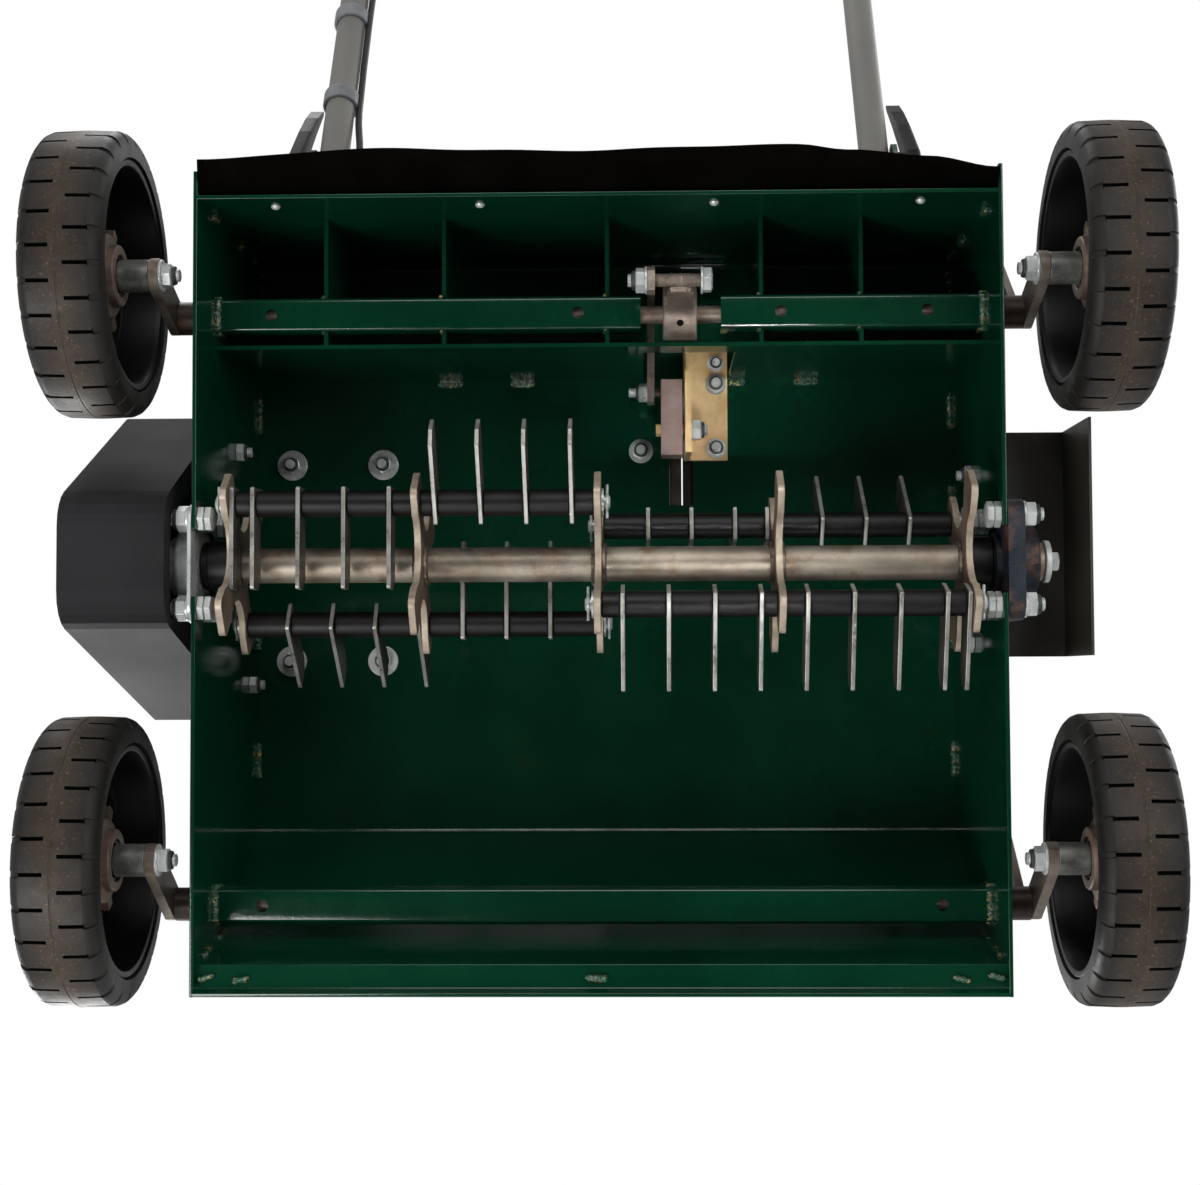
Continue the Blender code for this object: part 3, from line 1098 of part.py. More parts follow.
piece("engine_block", case, CAST_ALLOY, [base_block, shaft_boss, cylinder], [crank_bore])

fan_x = (CASE_BACK_X - GAP, FAN_BACK_X)
fan_profile = [(0.0, fan_x[0]), (FAN_RADIUS - FAN_EDGE, fan_x[0]), (FAN_RADIUS, fan_x[0] - FAN_EDGE),
               (FAN_RADIUS, fan_x[1] + FAN_EDGE), (FAN_RADIUS - FAN_EDGE, fan_x[1]), (0.0, fan_x[1])]
piece("fan_housing", turned(fan_profile, engine_y, CRANK_Z), BLACK_PLASTIC)
recoil_x = (FAN_BACK_X - GAP, RECOIL_BACK_X)
recoil_profile = [(0.0, recoil_x[0]), (RECOIL_RADIUS, recoil_x[0]), (RECOIL_RADIUS, recoil_x[1] + RECOIL_EDGE),
                  (RECOIL_RADIUS - RECOIL_EDGE, recoil_x[1]), (0.0, recoil_x[1])]
rope_x = (recoil_x[0] + recoil_x[1]) / 2
rope_z = CRANK_Z + ROPE_RISE
rope_out_y = engine_y + RECOIL_RADIUS
rope_bore = rod((rope_x, rope_out_y - STARTER_PULL - PAST, rope_z), (rope_x, rope_out_y + PAST, rope_z),
                clear(ROPE_RADIUS, SMALL_ROUND), SMALL_ROUND)
piece("recoil_cover", turned(recoil_profile, engine_y, CRANK_Z), BLACK_PLASTIC, cut=[rope_bore])
grip_low = rope_out_y + GAP * 2
starter_axis = axis("starter_axis", rope_x, grip_low, rope_z)
starter = rod((rope_x, grip_low, rope_z), (rope_x, grip_low + STARTER_GRIP_LENGTH, rope_z), STARTER_GRIP_RADIUS,
              SMALL_ROUND)
crossbar = rod((rope_x, grip_low + STARTER_BAR_Y, rope_z - STARTER_BAR_HALF),
               (rope_x, grip_low + STARTER_BAR_Y, rope_z + STARTER_BAR_HALF), STARTER_BAR_RADIUS, SMALL_ROUND)
rope = rod((rope_x, rope_out_y - STARTER_PULL, rope_z), (rope_x, grip_low + STARTER_GRIP_RADIUS, rope_z),
           ROPE_RADIUS, SMALL_ROUND)
piece("starter_grip", starter, BLACK_PLASTIC, [crossbar, rope], hold=starter_axis)

tank_low = CRANK_Z + FAN_RADIUS + GAP
tank_high_x = FAN_BACK_X + TANK_LENGTH - TANK_OVERHANG
tank = box((tank_high_x - TANK_LENGTH, engine_y - TANK_WIDTH / 2, tank_low),
           (tank_high_x, engine_y + TANK_WIDTH / 2, tank_low + TANK_HEIGHT), TANK_EDGE)
cap_x = tank_high_x - TANK_LENGTH / 2
cap_low = tank_low + TANK_HEIGHT
filler_cap = rod((cap_x, engine_y, cap_low - BITE), (cap_x, engine_y, cap_low + CAP_HEIGHT), CAP_RADIUS)
piece("fuel_tank", tank, RED_ENAMEL, [filler_cap])

head_top = CRANK_Z + (CYLINDER_START + CYLINDER_LENGTH) * math.cos(cylinder_turn)
head_top += CYLINDER_SIDE / 2 * math.sin(cylinder_turn)
muffler_x = tank_high_x + MUFFLER_CLEAR
muffler_y = engine_y - (CYLINDER_START + CYLINDER_LENGTH) * math.sin(cylinder_turn)
muffler_low = head_top + GAP
muffler = box((muffler_x, muffler_y - MUFFLER_SIZE[1] / 2, muffler_low),
              (muffler_x + MUFFLER_SIZE[0], muffler_y + MUFFLER_SIZE[1] / 2, muffler_low + MUFFLER_SIZE[2]),
              MUFFLER_EDGE)
port = rod((cylinder_mid_x, muffler_y, CRANK_Z + CYLINDER_START),
           (cylinder_mid_x, muffler_y, muffler_low + PAST), PORT_RADIUS)
port_seat = box((-CYLINDER_SIDE, -CYLINDER_SIDE, -CYLINDER_LENGTH),
                (CYLINDER_SIDE, CYLINDER_SIDE, CYLINDER_LENGTH + GAP * 2))
port_seat.location = cylinder.location - Vector((0.0, -math.sin(cylinder_turn), math.cos(cylinder_turn))) * (
    CYLINDER_LENGTH / 2 - GAP)
port_seat.rotation_euler = cylinder.rotation_euler
piece("muffler", muffler, BROWN_STEEL, [port], [port_seat])

cleaner_low = engine_low + CASE_HEIGHT + GAP
cylinder_rear = CYLINDER_SIDE / 2 * math.cos(cylinder_turn) - CYLINDER_START * math.sin(cylinder_turn)
cleaner_y = engine_y + cylinder_rear + CLEANER_CLEAR
cleaner = box((muffler_x, cleaner_y, cleaner_low),
              (muffler_x + CLEANER_SIZE[0], cleaner_y + CLEANER_SIZE[1], cleaner_low + CLEANER_SIZE[2]),
              CLEANER_EDGE)
piece("air_cleaner", cleaner, BLACK_PLASTIC)
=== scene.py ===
import json
import math

import bmesh
import bpy
from mathutils import Matrix, Vector, noise


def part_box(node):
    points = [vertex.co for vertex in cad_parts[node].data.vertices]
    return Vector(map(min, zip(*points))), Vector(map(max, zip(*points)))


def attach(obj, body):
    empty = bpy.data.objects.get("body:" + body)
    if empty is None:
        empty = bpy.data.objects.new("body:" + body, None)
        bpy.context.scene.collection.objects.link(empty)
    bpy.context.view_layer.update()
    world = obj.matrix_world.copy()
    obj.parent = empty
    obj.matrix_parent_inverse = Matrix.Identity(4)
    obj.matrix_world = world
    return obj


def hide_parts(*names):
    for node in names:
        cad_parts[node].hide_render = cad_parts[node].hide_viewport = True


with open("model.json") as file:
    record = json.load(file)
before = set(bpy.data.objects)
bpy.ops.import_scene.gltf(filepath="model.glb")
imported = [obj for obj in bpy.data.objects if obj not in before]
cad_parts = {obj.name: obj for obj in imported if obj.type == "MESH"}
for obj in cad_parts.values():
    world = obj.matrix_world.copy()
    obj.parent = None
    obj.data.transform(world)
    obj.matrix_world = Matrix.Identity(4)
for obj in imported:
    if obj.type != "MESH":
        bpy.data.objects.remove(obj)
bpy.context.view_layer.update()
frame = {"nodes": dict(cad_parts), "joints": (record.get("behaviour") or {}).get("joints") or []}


# Camera: it lies about 1.3 m under the ground line, a little to the machine's right, and looks straight up
# into the open deck. The three directions are its own right, up and back in the machine's frame.
PICTURE_WIDTH = 1200
FOCAL_PIXELS = 1915.7
CAMERA_PLACE = Vector((-0.0324, -0.4841, -1.2656))
CAMERA_RIGHT = Vector((-0.99973, -0.004, 0.02293))
CAMERA_UP = Vector((-0.00502, 0.99898, -0.04477))

camera_data = bpy.data.cameras.new("camera")
camera_data.sensor_width = 36.0
camera_data.lens = FOCAL_PIXELS / PICTURE_WIDTH * camera_data.sensor_width
camera = bpy.data.objects.new("camera", camera_data)
bpy.context.scene.collection.objects.link(camera)
camera_turn = Matrix((CAMERA_RIGHT, CAMERA_UP, CAMERA_RIGHT.cross(CAMERA_UP))).transposed()
camera.matrix_world = Matrix.Translation(CAMERA_PLACE) @ camera_turn.to_4x4()
bpy.context.scene.camera = camera
bpy.context.scene.view_settings.view_transform = "Standard"


# Light: soft boxes under the machine, as in the photograph, and soft boxes above it for every other side.
# All of them are plain white, and none shows itself.
def lamp(name, place, aim, size, watts, spread=180.0):
    """A square soft box that faces a point; a grid in front of it narrows its spread, in degrees."""
    data = bpy.data.lights.new(name, "AREA")
    data.size = size
    data.energy = watts
    data.spread = math.radians(spread)
    obj = bpy.data.objects.new(name, data)
    bpy.context.scene.collection.objects.link(obj)
    obj.location = place
    obj.rotation_euler = (Vector(aim) - Vector(place)).to_track_quat("-Z", "Y").to_euler()
    obj.visible_camera = False


lamp("key_below", (0.95, -1.35, -1.45), (0.0, -0.4, 0.15), 0.9, 26.0)
lamp("fill_below", (-1.25, 0.1, -1.35), (0.0, -0.35, 0.15), 1.0, 14.0)
lamp("strip_below", (0.05, -2.1, -0.75), (0.0, -0.45, 0.2), 0.8, 4.5)
lamp("rear_below", (0.0, 1.0, -1.3), (0.0, -0.6, 0.3), 1.0, 12.0)
lamp("linkage_below", (-0.2, -0.95, -1.25), (-0.075, -0.25, 0.28), 0.12, 0.065, 9.0)
lamp("key_above", (1.7, -2.1, 2.4), (0.0, -0.1, 0.3), 1.3, 60.0)
lamp("fill_above", (-2.1, 0.6, 1.9), (0.0, 0.0, 0.3), 1.6, 34.0)
lamp("back_above", (0.6, 2.6, 2.2), (0.0, 0.1, 0.4), 1.4, 34.0)


def add(owner, kind, sockets=(), **settings):
    """Adds a node to a material or world, with its settings and its sockets' values or links."""
    node = owner.node_tree.nodes.new("ShaderNode" + kind)
    for name, value in settings.items():
        setattr(node, name, value)
    for name, value in dict(sockets).items():
        if isinstance(value, bpy.types.NodeSocket):
            owner.node_tree.links.new(value, node.inputs[name])
        else:
            node.inputs[name].default_value = value
    return node


# Surroundings: white for the camera, and pale for what metal mirrors from the sides and above. Straight below
# it is the dim room behind the camera, which is what the bare bottom of the deck mirrors.
AMBIENT = 0.42
WHITE = (1.0, 1.0, 1.0, 1.0)
world = bpy.data.worlds.new("studio")
bpy.context.scene.world = world
world.use_nodes = True
world.node_tree.nodes.clear()
rays = add(world, "LightPath").outputs
heading = add(world, "SeparateXYZ", {"Vector": add(world, "TexCoord").outputs["Generated"]})
mirrored = add(world, "MapRange", {"Value": heading.outputs["Z"], "From Min": -0.9, "From Max": -0.05,
                                   "To Min": 0.02, "To Max": 0.62})
ambient = add(world, "Mix", {"Factor": rays["Is Glossy Ray"], "A": AMBIENT, "B": mirrored.outputs["Result"]},
              data_type="FLOAT")
seen = add(world, "Math", {0: rays["Is Camera Ray"], 1: rays["Is Transmission Ray"]}, operation="MAXIMUM")
strength = add(world, "Mix", {"Factor": seen.outputs[0], "A": ambient.outputs["Result"], "B": 1.0},
               data_type="FLOAT")
glow = add(world, "Background", {"Color": WHITE, "Strength": strength.outputs["Result"]})
add(world, "OutputWorld", {"Surface": glow.outputs[0]})

# Floor: a pale sheet at the wheels' lowest point. From above it is white and keeps the machine's shadow,
# and from below, for lamps and for mirrored rays it is clear, because the camera looks through it.
FLOOR_SIDE = 12.0
FLOOR_DROP = 0.0005
FLOOR_LIFT = 0.4
SHADOW_FADE = (1.1, 2.4)


def stand(name, bm):
    """Puts a finished mesh into the scene as an object."""
    mesh = bpy.data.meshes.new(name)
    bm.to_mesh(mesh)
    bm.free()
    obj = bpy.data.objects.new(name, mesh)
    bpy.context.scene.collection.objects.link(obj)
    return obj


sheet = bmesh.new()
bmesh.ops.create_grid(sheet, x_segments=1, y_segments=1, size=FLOOR_SIDE / 2)
floor = stand("floor", sheet)
floor.location.z = -FLOOR_DROP
paper = bpy.data.materials.new("white_paper")
paper.use_nodes = True
paper.node_tree.nodes.clear()
rays = add(paper, "LightPath").outputs
below = add(paper, "Math", {0: add(paper, "NewGeometry").outputs["Backfacing"], 1: rays["Is Shadow Ray"]},
            operation="MAXIMUM")
clear = add(paper, "Math", {0: below.outputs[0], 1: rays["Is Glossy Ray"]}, operation="MAXIMUM")
lift = add(paper, "Math", {0: rays["Is Camera Ray"], 1: FLOOR_LIFT}, operation="MULTIPLY")
shine = add(paper, "Emission", {"Color": WHITE, "Strength": lift.outputs[0]})
matt = add(paper, "BsdfDiffuse", {"Color": (0.86, 0.86, 0.85, 1.0)})
lit = add(paper, "AddShader", {0: matt.outputs[0], 1: shine.outputs[0]})
reach = add(paper, "VectorMath", {0: add(paper, "NewGeometry").outputs["Position"]}, operation="LENGTH")
far = add(paper, "MapRange", {"Value": reach.outputs["Value"], "From Min": SHADOW_FADE[0],
                              "From Max": SHADOW_FADE[1]}, interpolation_type="SMOOTHSTEP")
blank = add(paper, "Emission", {"Color": WHITE})
faded = add(paper, "MixShader", {0: far.outputs[0], 1: lit.outputs[0], 2: blank.outputs[0]})
unseen = add(paper, "BsdfTransparent")
mixed = add(paper, "MixShader", {0: clear.outputs[0], 1: faded.outputs[0], 2: unseen.outputs[0]})
add(paper, "OutputMaterial", {"Surface": mixed.outputs[0]})
floor.data.materials.append(paper)


# Deck: 3 mm steel sheet, folded once over the top and down the slanting nose to a turned-in lip, and welded
# between two flat side walls with short stitches. It is powder coated bottle green inside and out.
def spot(joint):
    """The place of a joint's axis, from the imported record."""
    return Vector(next(entry["pos_m"] for entry in frame["joints"] if entry["name"] == joint))


ROTOR = spot("rotor_spin")


def along(y):
    """A place measured along the machine from the rotor's axis, as a world Y."""
    return ROTOR.y + y


def linear(code):
    """An sRGB hex colour as the linear colour that a shader takes."""
    parts = [int(code[at:at + 2], 16) / 255 for at in (0, 2, 4)]
    return [part / 12.92 if part <= 0.04045 else ((part + 0.055) / 1.055) ** 2.4 for part in parts] + [1.0]


def finish(name, dull, bright, roughness, metallic=0.0, patch=30.0, grain=0.6, relief=0.15, coat=0.0,
           stretch=None, shine=0.5):
    """A surface whose colour and gloss drift from dull to bright over patches, under a fine grain.

    Both sizes are in millimetres. A grain too fine for the picture is drawn as coarse as it needs to show.
    """
    material = bpy.data.materials.new(name)
    material.use_nodes = True
    shader = material.node_tree.nodes["Principled BSDF"]
    place = add(material, "TexCoord").outputs["Object"]
    if stretch:
        place = add(material, "Mapping", {"Vector": place, "Scale": stretch}).outputs[0]
    clouds = add(material, "TexNoise", {"Vector": place, "Scale": 1000 / patch, "Detail": 6.0,
                                        "Roughness": 0.62})
    drift = add(material, "MapRange", {"Value": clouds.outputs["Fac"], "From Min": 0.36, "From Max": 0.64})
    tone = add(material, "Mix", {0: drift.outputs[0], 6: linear(dull), 7: linear(bright)}, data_type="RGBA")
    gloss = add(material, "MapRange", {"Value": drift.outputs[0], "To Min": roughness[0],
                                       "To Max": roughness[1]})
    speckle = add(material, "TexNoise", {"Vector": place, "Scale": 1000 / grain, "Detail": 2.0})
    bump = add(material, "Bump", {"Height": speckle.outputs["Fac"], "Strength": relief,
                                  "Distance": grain / 1000})
    links = material.node_tree.links
    links.new(tone.outputs[2], shader.inputs["Base Color"])
    links.new(gloss.outputs[0], shader.inputs["Roughness"])
    links.new(bump.outputs[0], shader.inputs["Normal"])
    shader.inputs["Metallic"].default_value = metallic
    shader.inputs["Specular IOR Level"].default_value = shine
    shader.inputs["Coat Weight"].default_value = coat
    shader.inputs["Coat Roughness"].default_value = 0.06
    return material


def dirty(material, dirt, size, amount, edge=0.08, band=None):
    """Lays patches of another colour over a finish: dust, rust or scuffs, by their size in millimetres.

    A band keeps them near a distance from the machine's middle plane, and lets them thin out beside it.
    """
    shader = material.node_tree.nodes["Principled BSDF"]
    before = shader.inputs["Base Color"].links[0].from_socket
    place = add(material, "TexCoord").outputs["Object"]
    spread = add(material, "TexNoise", {"Vector": place, "Scale": 1000 / size, "Detail": 8.0,
                                        "Roughness": 0.7})
    cover = add(material, "MapRange", {"Value": spread.outputs["Fac"], "From Min": 1.0 - amount - edge,
                                       "From Max": 1.0 - amount + edge})
    if band:
        across = add(material, "SeparateXYZ", {"Vector": place}).outputs["X"]
        across = add(material, "Math", {0: across}, operation="ABSOLUTE")
        off = add(material, "Math", {0: across.outputs[0], 1: band[0]}, operation="SUBTRACT")
        off = add(material, "Math", {0: off.outputs[0]}, operation="ABSOLUTE")
        thin = add(material, "MapRange", {"Value": off.outputs[0], "From Min": 0.2 * band[1],
                                          "From Max": band[1], "To Min": 1.0, "To Max": 0.1})
        cover = add(material, "Math", {0: cover.outputs[0], 1: thin.outputs[0]}, operation="MULTIPLY")
    mix = add(material, "Mix", {0: cover.outputs[0], 6: before, 7: linear(dirt)}, data_type="RGBA")
    material.node_tree.links.new(mix.outputs[2], shader.inputs["Base Color"])
    return material


# Powder coat, cured glossy: a dark green with a faint orange peel, clear enough to mirror its own bolts.
powder_coat = finish("green_powder_coat", "022718", "03311f", (0.09, 0.14), patch=120.0, grain=2.5,
                     relief=0.03)
dirty(powder_coat, "0d2a18", 30.0, 0.34, 0.06)


def rounded(points, radius, steps=6, closed=True):
    """The same path with each corner turned into an arc."""
    points = [Vector(point) for point in points]
    path = [] if closed else [points[0]]
    for index in range(0 if closed else 1, len(points) if closed else len(points) - 1):
        here = points[index]
        back = (points[index - 1] - here).normalized()
        ahead = (points[(index + 1) % len(points)] - here).normalized()
        half = back.angle(ahead) / 2
        centre = here + (back + ahead).normalized() * radius / math.sin(half)
        first = here + back * radius / math.tan(half) - centre
        last = here + ahead * radius / math.tan(half) - centre
        path += [centre + first.slerp(last, step / steps) * radius for step in range(steps + 1)]
    if not closed:
        path.append(points[-1])
    return path


def oblong(a0, a1, b0, b1):
    """The four corners of a rectangle."""
    return [(a0, b0), (a1, b0), (a1, b1), (a0, b1)]


def skin(bm, rings, look=0, ends=None, closed=False, loop=True, skip=None):
    """Lays faces from one ring of points to the next; a ring of one point is a pole.

    The two ends are closed where a look is given for them, and what skip(band, step) names stays open.
    """
    for band, (first, second) in enumerate(zip(rings, rings[1:] + rings[:1] if closed else rings[1:])):
        count = max(len(first), len(second))
        for n in range(count if loop else count - 1):
            m = (n + 1) % count
            corners = list(dict.fromkeys((first[n % len(first)], first[m % len(first)],
                                          second[m % len(second)], second[n % len(second)])))
            if len(corners) > 2 and not (skip and skip(band, n)):
                bm.faces.new(corners).material_index = look
    if ends is not None:
        for ring in (rings[0][::-1], rings[-1]):
            bm.faces.new(ring).material_index = ends


def slab(bm, outline, low, high, look=0, normal="X", rim=None):
    """A flat plate between two places along its normal; its outline is (Y, Z) points, or (X, Y) ones.

    The cut edge all round can have a look of its own.
    """
    rings = [[bm.verts.new((level, *point) if normal == "X" else (*point, level)) for point in outline]
             for level in (low, high)]
    skin(bm, rings, look if rim is None else rim, ends=look)


def turning(bm, profile, place, axis=(1, 0, 0), steps=40):
    """The rings of a turned piece, from (distance, radius) pairs along a line; radius 0 is a pole."""
    turn = Vector((1, 0, 0)).rotation_difference(Vector(axis)).to_matrix()
    rings = []
    for distance, radius in profile:
        angles = [2 * math.pi * step / steps for step in range(steps)] if radius else [0.0]
        spokes = [Vector((distance, radius * math.cos(angle), radius * math.sin(angle))) for angle in angles]
        rings.append([bm.verts.new(Vector(place) + turn @ spoke) for spoke in spokes])
    return rings


def lathe(bm, profile, place, axis=(1, 0, 0), steps=40, look=0, closed=False):
    """A turned piece; its ends run straight to the line, unless its profile is closed round a bore."""
    profile = list(profile)
    if not closed and profile[0][1]:
        profile.insert(0, (profile[0][0], 0.0))
    if not closed and profile[-1][1]:
        profile.append((profile[-1][0], 0.0))
    skin(bm, turning(bm, profile, place, axis, steps), look, closed=closed)


def sweep(bm, points, radius, steps=16, look=0, ripple=0.0):
    """A round bar along a path, its ends closed; the ripple swells it at every second point, as a weld."""
    points = [Vector(point) for point in points]
    side = (points[1] - points[0]).orthogonal().normalized()
    rings = []
    for index, point in enumerate(points):
        ahead = (points[min(index + 1, len(points) - 1)] - points[max(index - 1, 0)]).normalized()
        side = (side - ahead * side.dot(ahead)).normalized()
        other = ahead.cross(side)
        size = radius * (1.0 + (ripple if index % 2 else -ripple))
        if ripple and index in (0, len(points) - 1):
            size = radius * 0.4
        rings.append([bm.verts.new(point + (side * math.cos(a) + other * math.sin(a)) * size)
                      for a in (2 * math.pi * step / steps for step in range(steps))])
    skin(bm, rings, look, ends=look)


def make(name, bm, looks, body, nodes=(), bevel=0.0, gauge=0.0, cutters=()):
    """Turns the mesh into one piece with its materials and edges, on its body and in its nodes' stead."""
    if not gauge:
        bmesh.ops.recalc_face_normals(bm, faces=bm.faces)
    obj = stand(name, bm)
    for look in looks:
        obj.data.materials.append(look)
    if gauge:
        solid = obj.modifiers.new("gauge", "SOLIDIFY")
        solid.thickness = gauge
        solid.offset = 0.0
        solid.use_even_offset = True
    for cutter in cutters:
        hole = obj.modifiers.new("hole", "BOOLEAN")
        hole.object = cutter
        hole.solver = "EXACT"
    if gauge or cutters:
        bpy.context.view_layer.update()
        shaped = bpy.data.meshes.new_from_object(obj.evaluated_get(bpy.context.evaluated_depsgraph_get()))
        shaped.name = name
        obj.modifiers.clear()
        obj.data = shaped
        for cutter in cutters:
            bpy.data.objects.remove(cutter, do_unlink=True)
    soften(obj, bevel)
    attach(obj, body)
    if nodes:
        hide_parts(*nodes)
    return obj


def soften(obj, bevel):
    """Rounds the edges of a piece by a real width, and shades what is left by its angle."""
    if bevel:
        edges = obj.modifiers.new("edges", "BEVEL")
        edges.width = bevel
        edges.segments = 2
        edges.limit_method = "ANGLE"
        edges.angle_limit = math.radians(32)
        edges.use_clamp_overlap = True
        obj.data.shade_smooth()
        weighted = obj.modifiers.new("flat faces", "WEIGHTED_NORMAL")
        weighted.keep_sharp = True
    elif obj.name not in frame["nodes"]:
        obj.data.shade_smooth()
        obj.data.set_sharp_from_angle(angle=math.radians(38))


def keep(look, *names, bevel=0.0):
    """The CAD nodes whose shape is right take a better material and, where they need it, softer edges."""
    for name in names:
        node = frame["nodes"][name]
        for index in range(len(node.material_slots)):
            node.material_slots[index].material = look
        if bevel:
            soften(node, bevel)


HALF_WIDTH = 0.289
SHEET = 0.003
WALL_IN = HALF_WIDTH - SHEET
RIM_Z = 0.0867
TOP_Z = 0.3104
ROOF_Z = TOP_Z - SHEET / 2
TOP_FACE = TOP_Z + SHEET / 2
NOSE_Y = -0.305
LIP_Z = RIM_Z + 0.01
REAR_Y = 0.2625
BEND = 0.009
LEVER_SLOT = ((-0.0734, -0.0547), (0.059, 0.15))
NOTCH = 0.024
AXLE_Z = spot("height_rear").z
REAR_AXLE_Y = 0.189
FRONT_AXLE_Y = -0.25
deck_profile = rounded([(REAR_Y, RIM_Z), (REAR_Y, TOP_Z), (-0.209, TOP_Z), (-0.272, 0.2),
                        (NOSE_Y + 0.019, LIP_Z)], BEND, 5, closed=False)
deck_profile += [Vector((NOSE_Y + 0.008, LIP_Z - 0.001)), Vector((NOSE_Y + 0.003, LIP_Z - 0.0025)),
                 Vector((NOSE_Y + 0.0008, LIP_Z - 0.0055)), Vector((NOSE_Y, RIM_Z))]
after_bend = next(index for index, point in enumerate(deck_profile) if point.y > TOP_Z - 0.0001)
for edge_y in LEVER_SLOT[1]:
    deck_profile.insert(after_bend + 1, Vector((edge_y, TOP_Z)))
columns = [-WALL_IN - 0.0015, *LEVER_SLOT[0], WALL_IN + 0.0015]
deck = bmesh.new()
rows = [[deck.verts.new((x, along(point.x), point.y)) for x in columns] for point in deck_profile]
skin(deck, rows, loop=False, skip=lambda band, column: (band, column) == (after_bend + 1, 1))
make("deck_sheet", deck, [powder_coat], "machine", ["deck_shell"], bevel=0.0006, gauge=SHEET)

wall_outline = [(NOSE_Y - 0.0015, RIM_Z), (-NOTCH, RIM_Z), (-NOTCH, ROTOR.z + 0.012),
                (-0.012, ROTOR.z + NOTCH), (0.012, ROTOR.z + NOTCH), (NOTCH, ROTOR.z + 0.012), (NOTCH, RIM_Z),
                (0.2815, RIM_Z), (0.2815, TOP_FACE - 0.02), (REAR_Y + 0.0015, TOP_FACE), (-0.21, TOP_FACE),
                (-0.2735, 0.2015), (NOSE_Y + 0.016, LIP_Z + 0.003), (NOSE_Y - 0.0015, LIP_Z)]
walls = bmesh.new()
for side in (1, -1):
    slab(walls, [(along(y), z) for y, z in wall_outline], side * WALL_IN, side * HALF_WIDTH)
    for axle_y in (REAR_AXLE_Y, FRONT_AXLE_Y):
        ends = [(0.0, 0.0067), (0.0, 0.017), (0.002, 0.015), (0.0026, 0.0135), (0.0026, 0.0067)]
        lathe(walls, ends, (side * HALF_WIDTH, along(axle_y), AXLE_Z), (side, 0, 0), 36, closed=True)
make("deck_walls", walls, [powder_coat], "machine", bevel=0.0006)


noise.seed_set(4)
RIPPLE = 0.0018
WANDER = 0.0004


def stitch(bm, start, end, radius=0.0028, look=0):
    """A short weld between two points, with the ripples that the torch leaves and a little wander."""
    start, end = Vector(start), Vector(end)
    count = max(4, round((end - start).length / RIPPLE))
    wander = [Vector()] + [noise.noise_vector(start * 300 + Vector((n, 0, 0))) * WANDER for n in range(count)]
    sweep(bm, [start.lerp(end, n / count) + wander[n] for n in range(count + 1)], radius, 10, look,
          ripple=0.1)


# Coated weld: the same green over rough weld metal, thin on its crests, with small gold flecks that are partly
# rust and partly painted glints, a painted highlight for the lamps on the crests.
weld_coat_with_painted_glints = finish("coated_weld_and_painted_glints", "03301f", "0a4a30", (0.06, 0.14), patch=6.0, grain=2.2, relief=0.9,
                   shine=1.0)
dirty(weld_coat_with_painted_glints, "a9824a", 4.0, 0.42, 0.05)
STITCH = 0.03
welds = bmesh.new()
for side in (1, -1):
    corner = side * (WALL_IN - 0.001)
    for y in (-0.165, -0.06, 0.045, 0.12, 0.225):
        stitch(welds, (corner, along(y), ROOF_Z - 0.001), (corner, along(y + STITCH), ROOF_Z - 0.001))
    for z in (0.13, 0.23, 0.28):
        stitch(welds, (corner, along(REAR_Y - 0.003), z), (corner, along(REAR_Y - 0.003), z + STITCH * 0.6))
    for share in (0.12, 0.62):
        foot, head = Vector((corner, along(-0.2835), 0.1)), Vector((corner, along(-0.2715), 0.198))
        stitch(welds, foot.lerp(head, share), foot.lerp(head, share + 0.25), 0.0024)
    for x, y in ((WALL_IN - 0.0015, -0.292), (WALL_IN - 0.026, -0.2935)):
        stitch(welds, (side * x, along(y - 0.003), LIP_Z - 0.004),
               (side * (x - 0.012), along(y), LIP_Z - 0.0038), 0.0022)
stitch(welds, (-0.006, along(-0.2945), LIP_Z - 0.004), (0.01, along(-0.2935), LIP_Z - 0.004), 0.0026)
for x in (0.1265, 0.0667, -0.107, -0.167):
    seam = oblong(x - 0.01, x + 0.01, along(0.1575), along(0.1635))
    slab(welds, rounded(seam, 0.0029, 5), ROOF_Z - 0.0007, ROOF_Z + 0.0005, normal="Z")
make("deck_welds", welds, [weld_coat_with_painted_glints], "machine")


# Outlet grid and cross tubes: a sheet baffle with five fins, and 25 mm square tube with drilled drain holes,
# all welded in across the deck and coated with it. The axle shafts run inside the tubes.
keep(powder_coat, "divider_grid", bevel=0.0005)
TUBE = 0.0125
TUBE_WALL = 0.002
TUBE_CORNERS = (0.0028, 0.0012)
HOLE = 0.0045


def cutter(place, axis, radius, length):
    """A round bar that bores a hole and is removed with it."""
    bm = bmesh.new()
    lathe(bm, [(-length / 2, radius), (length / 2, radius)], place, axis, 28)
    bmesh.ops.recalc_face_normals(bm, faces=bm.faces)
    return stand("cutter", bm)


for name, axle_y, holes in (("front_cross_tube", FRONT_AXLE_Y, (0.25, -0.25)),
                            ("rear_cross_tube_left", REAR_AXLE_Y, (0.245, 0.0154)),
                            ("rear_cross_tube_right", REAR_AXLE_Y, (-0.1355, -0.244))):
    low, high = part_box(name)
    middle = along(axle_y)
    tube = bmesh.new()
    rings = []
    for half, corner, ends in zip((TUBE, TUBE - TUBE_WALL), TUBE_CORNERS, ((low.x, high.x), (high.x, low.x))):
        outline = rounded(oblong(middle - half, middle + half, AXLE_Z - half, AXLE_Z + half), corner, 4)
        rings += [[tube.verts.new((x, *point)) for point in outline] for x in ends]
    skin(tube, rings, closed=True)
    bores = [cutter((x, middle, AXLE_Z - TUBE), (0, 0, 1), HOLE, 0.012) for x in holes]
    make(name + "_coated", tube, [powder_coat], "machine", [name], cutters=bores)

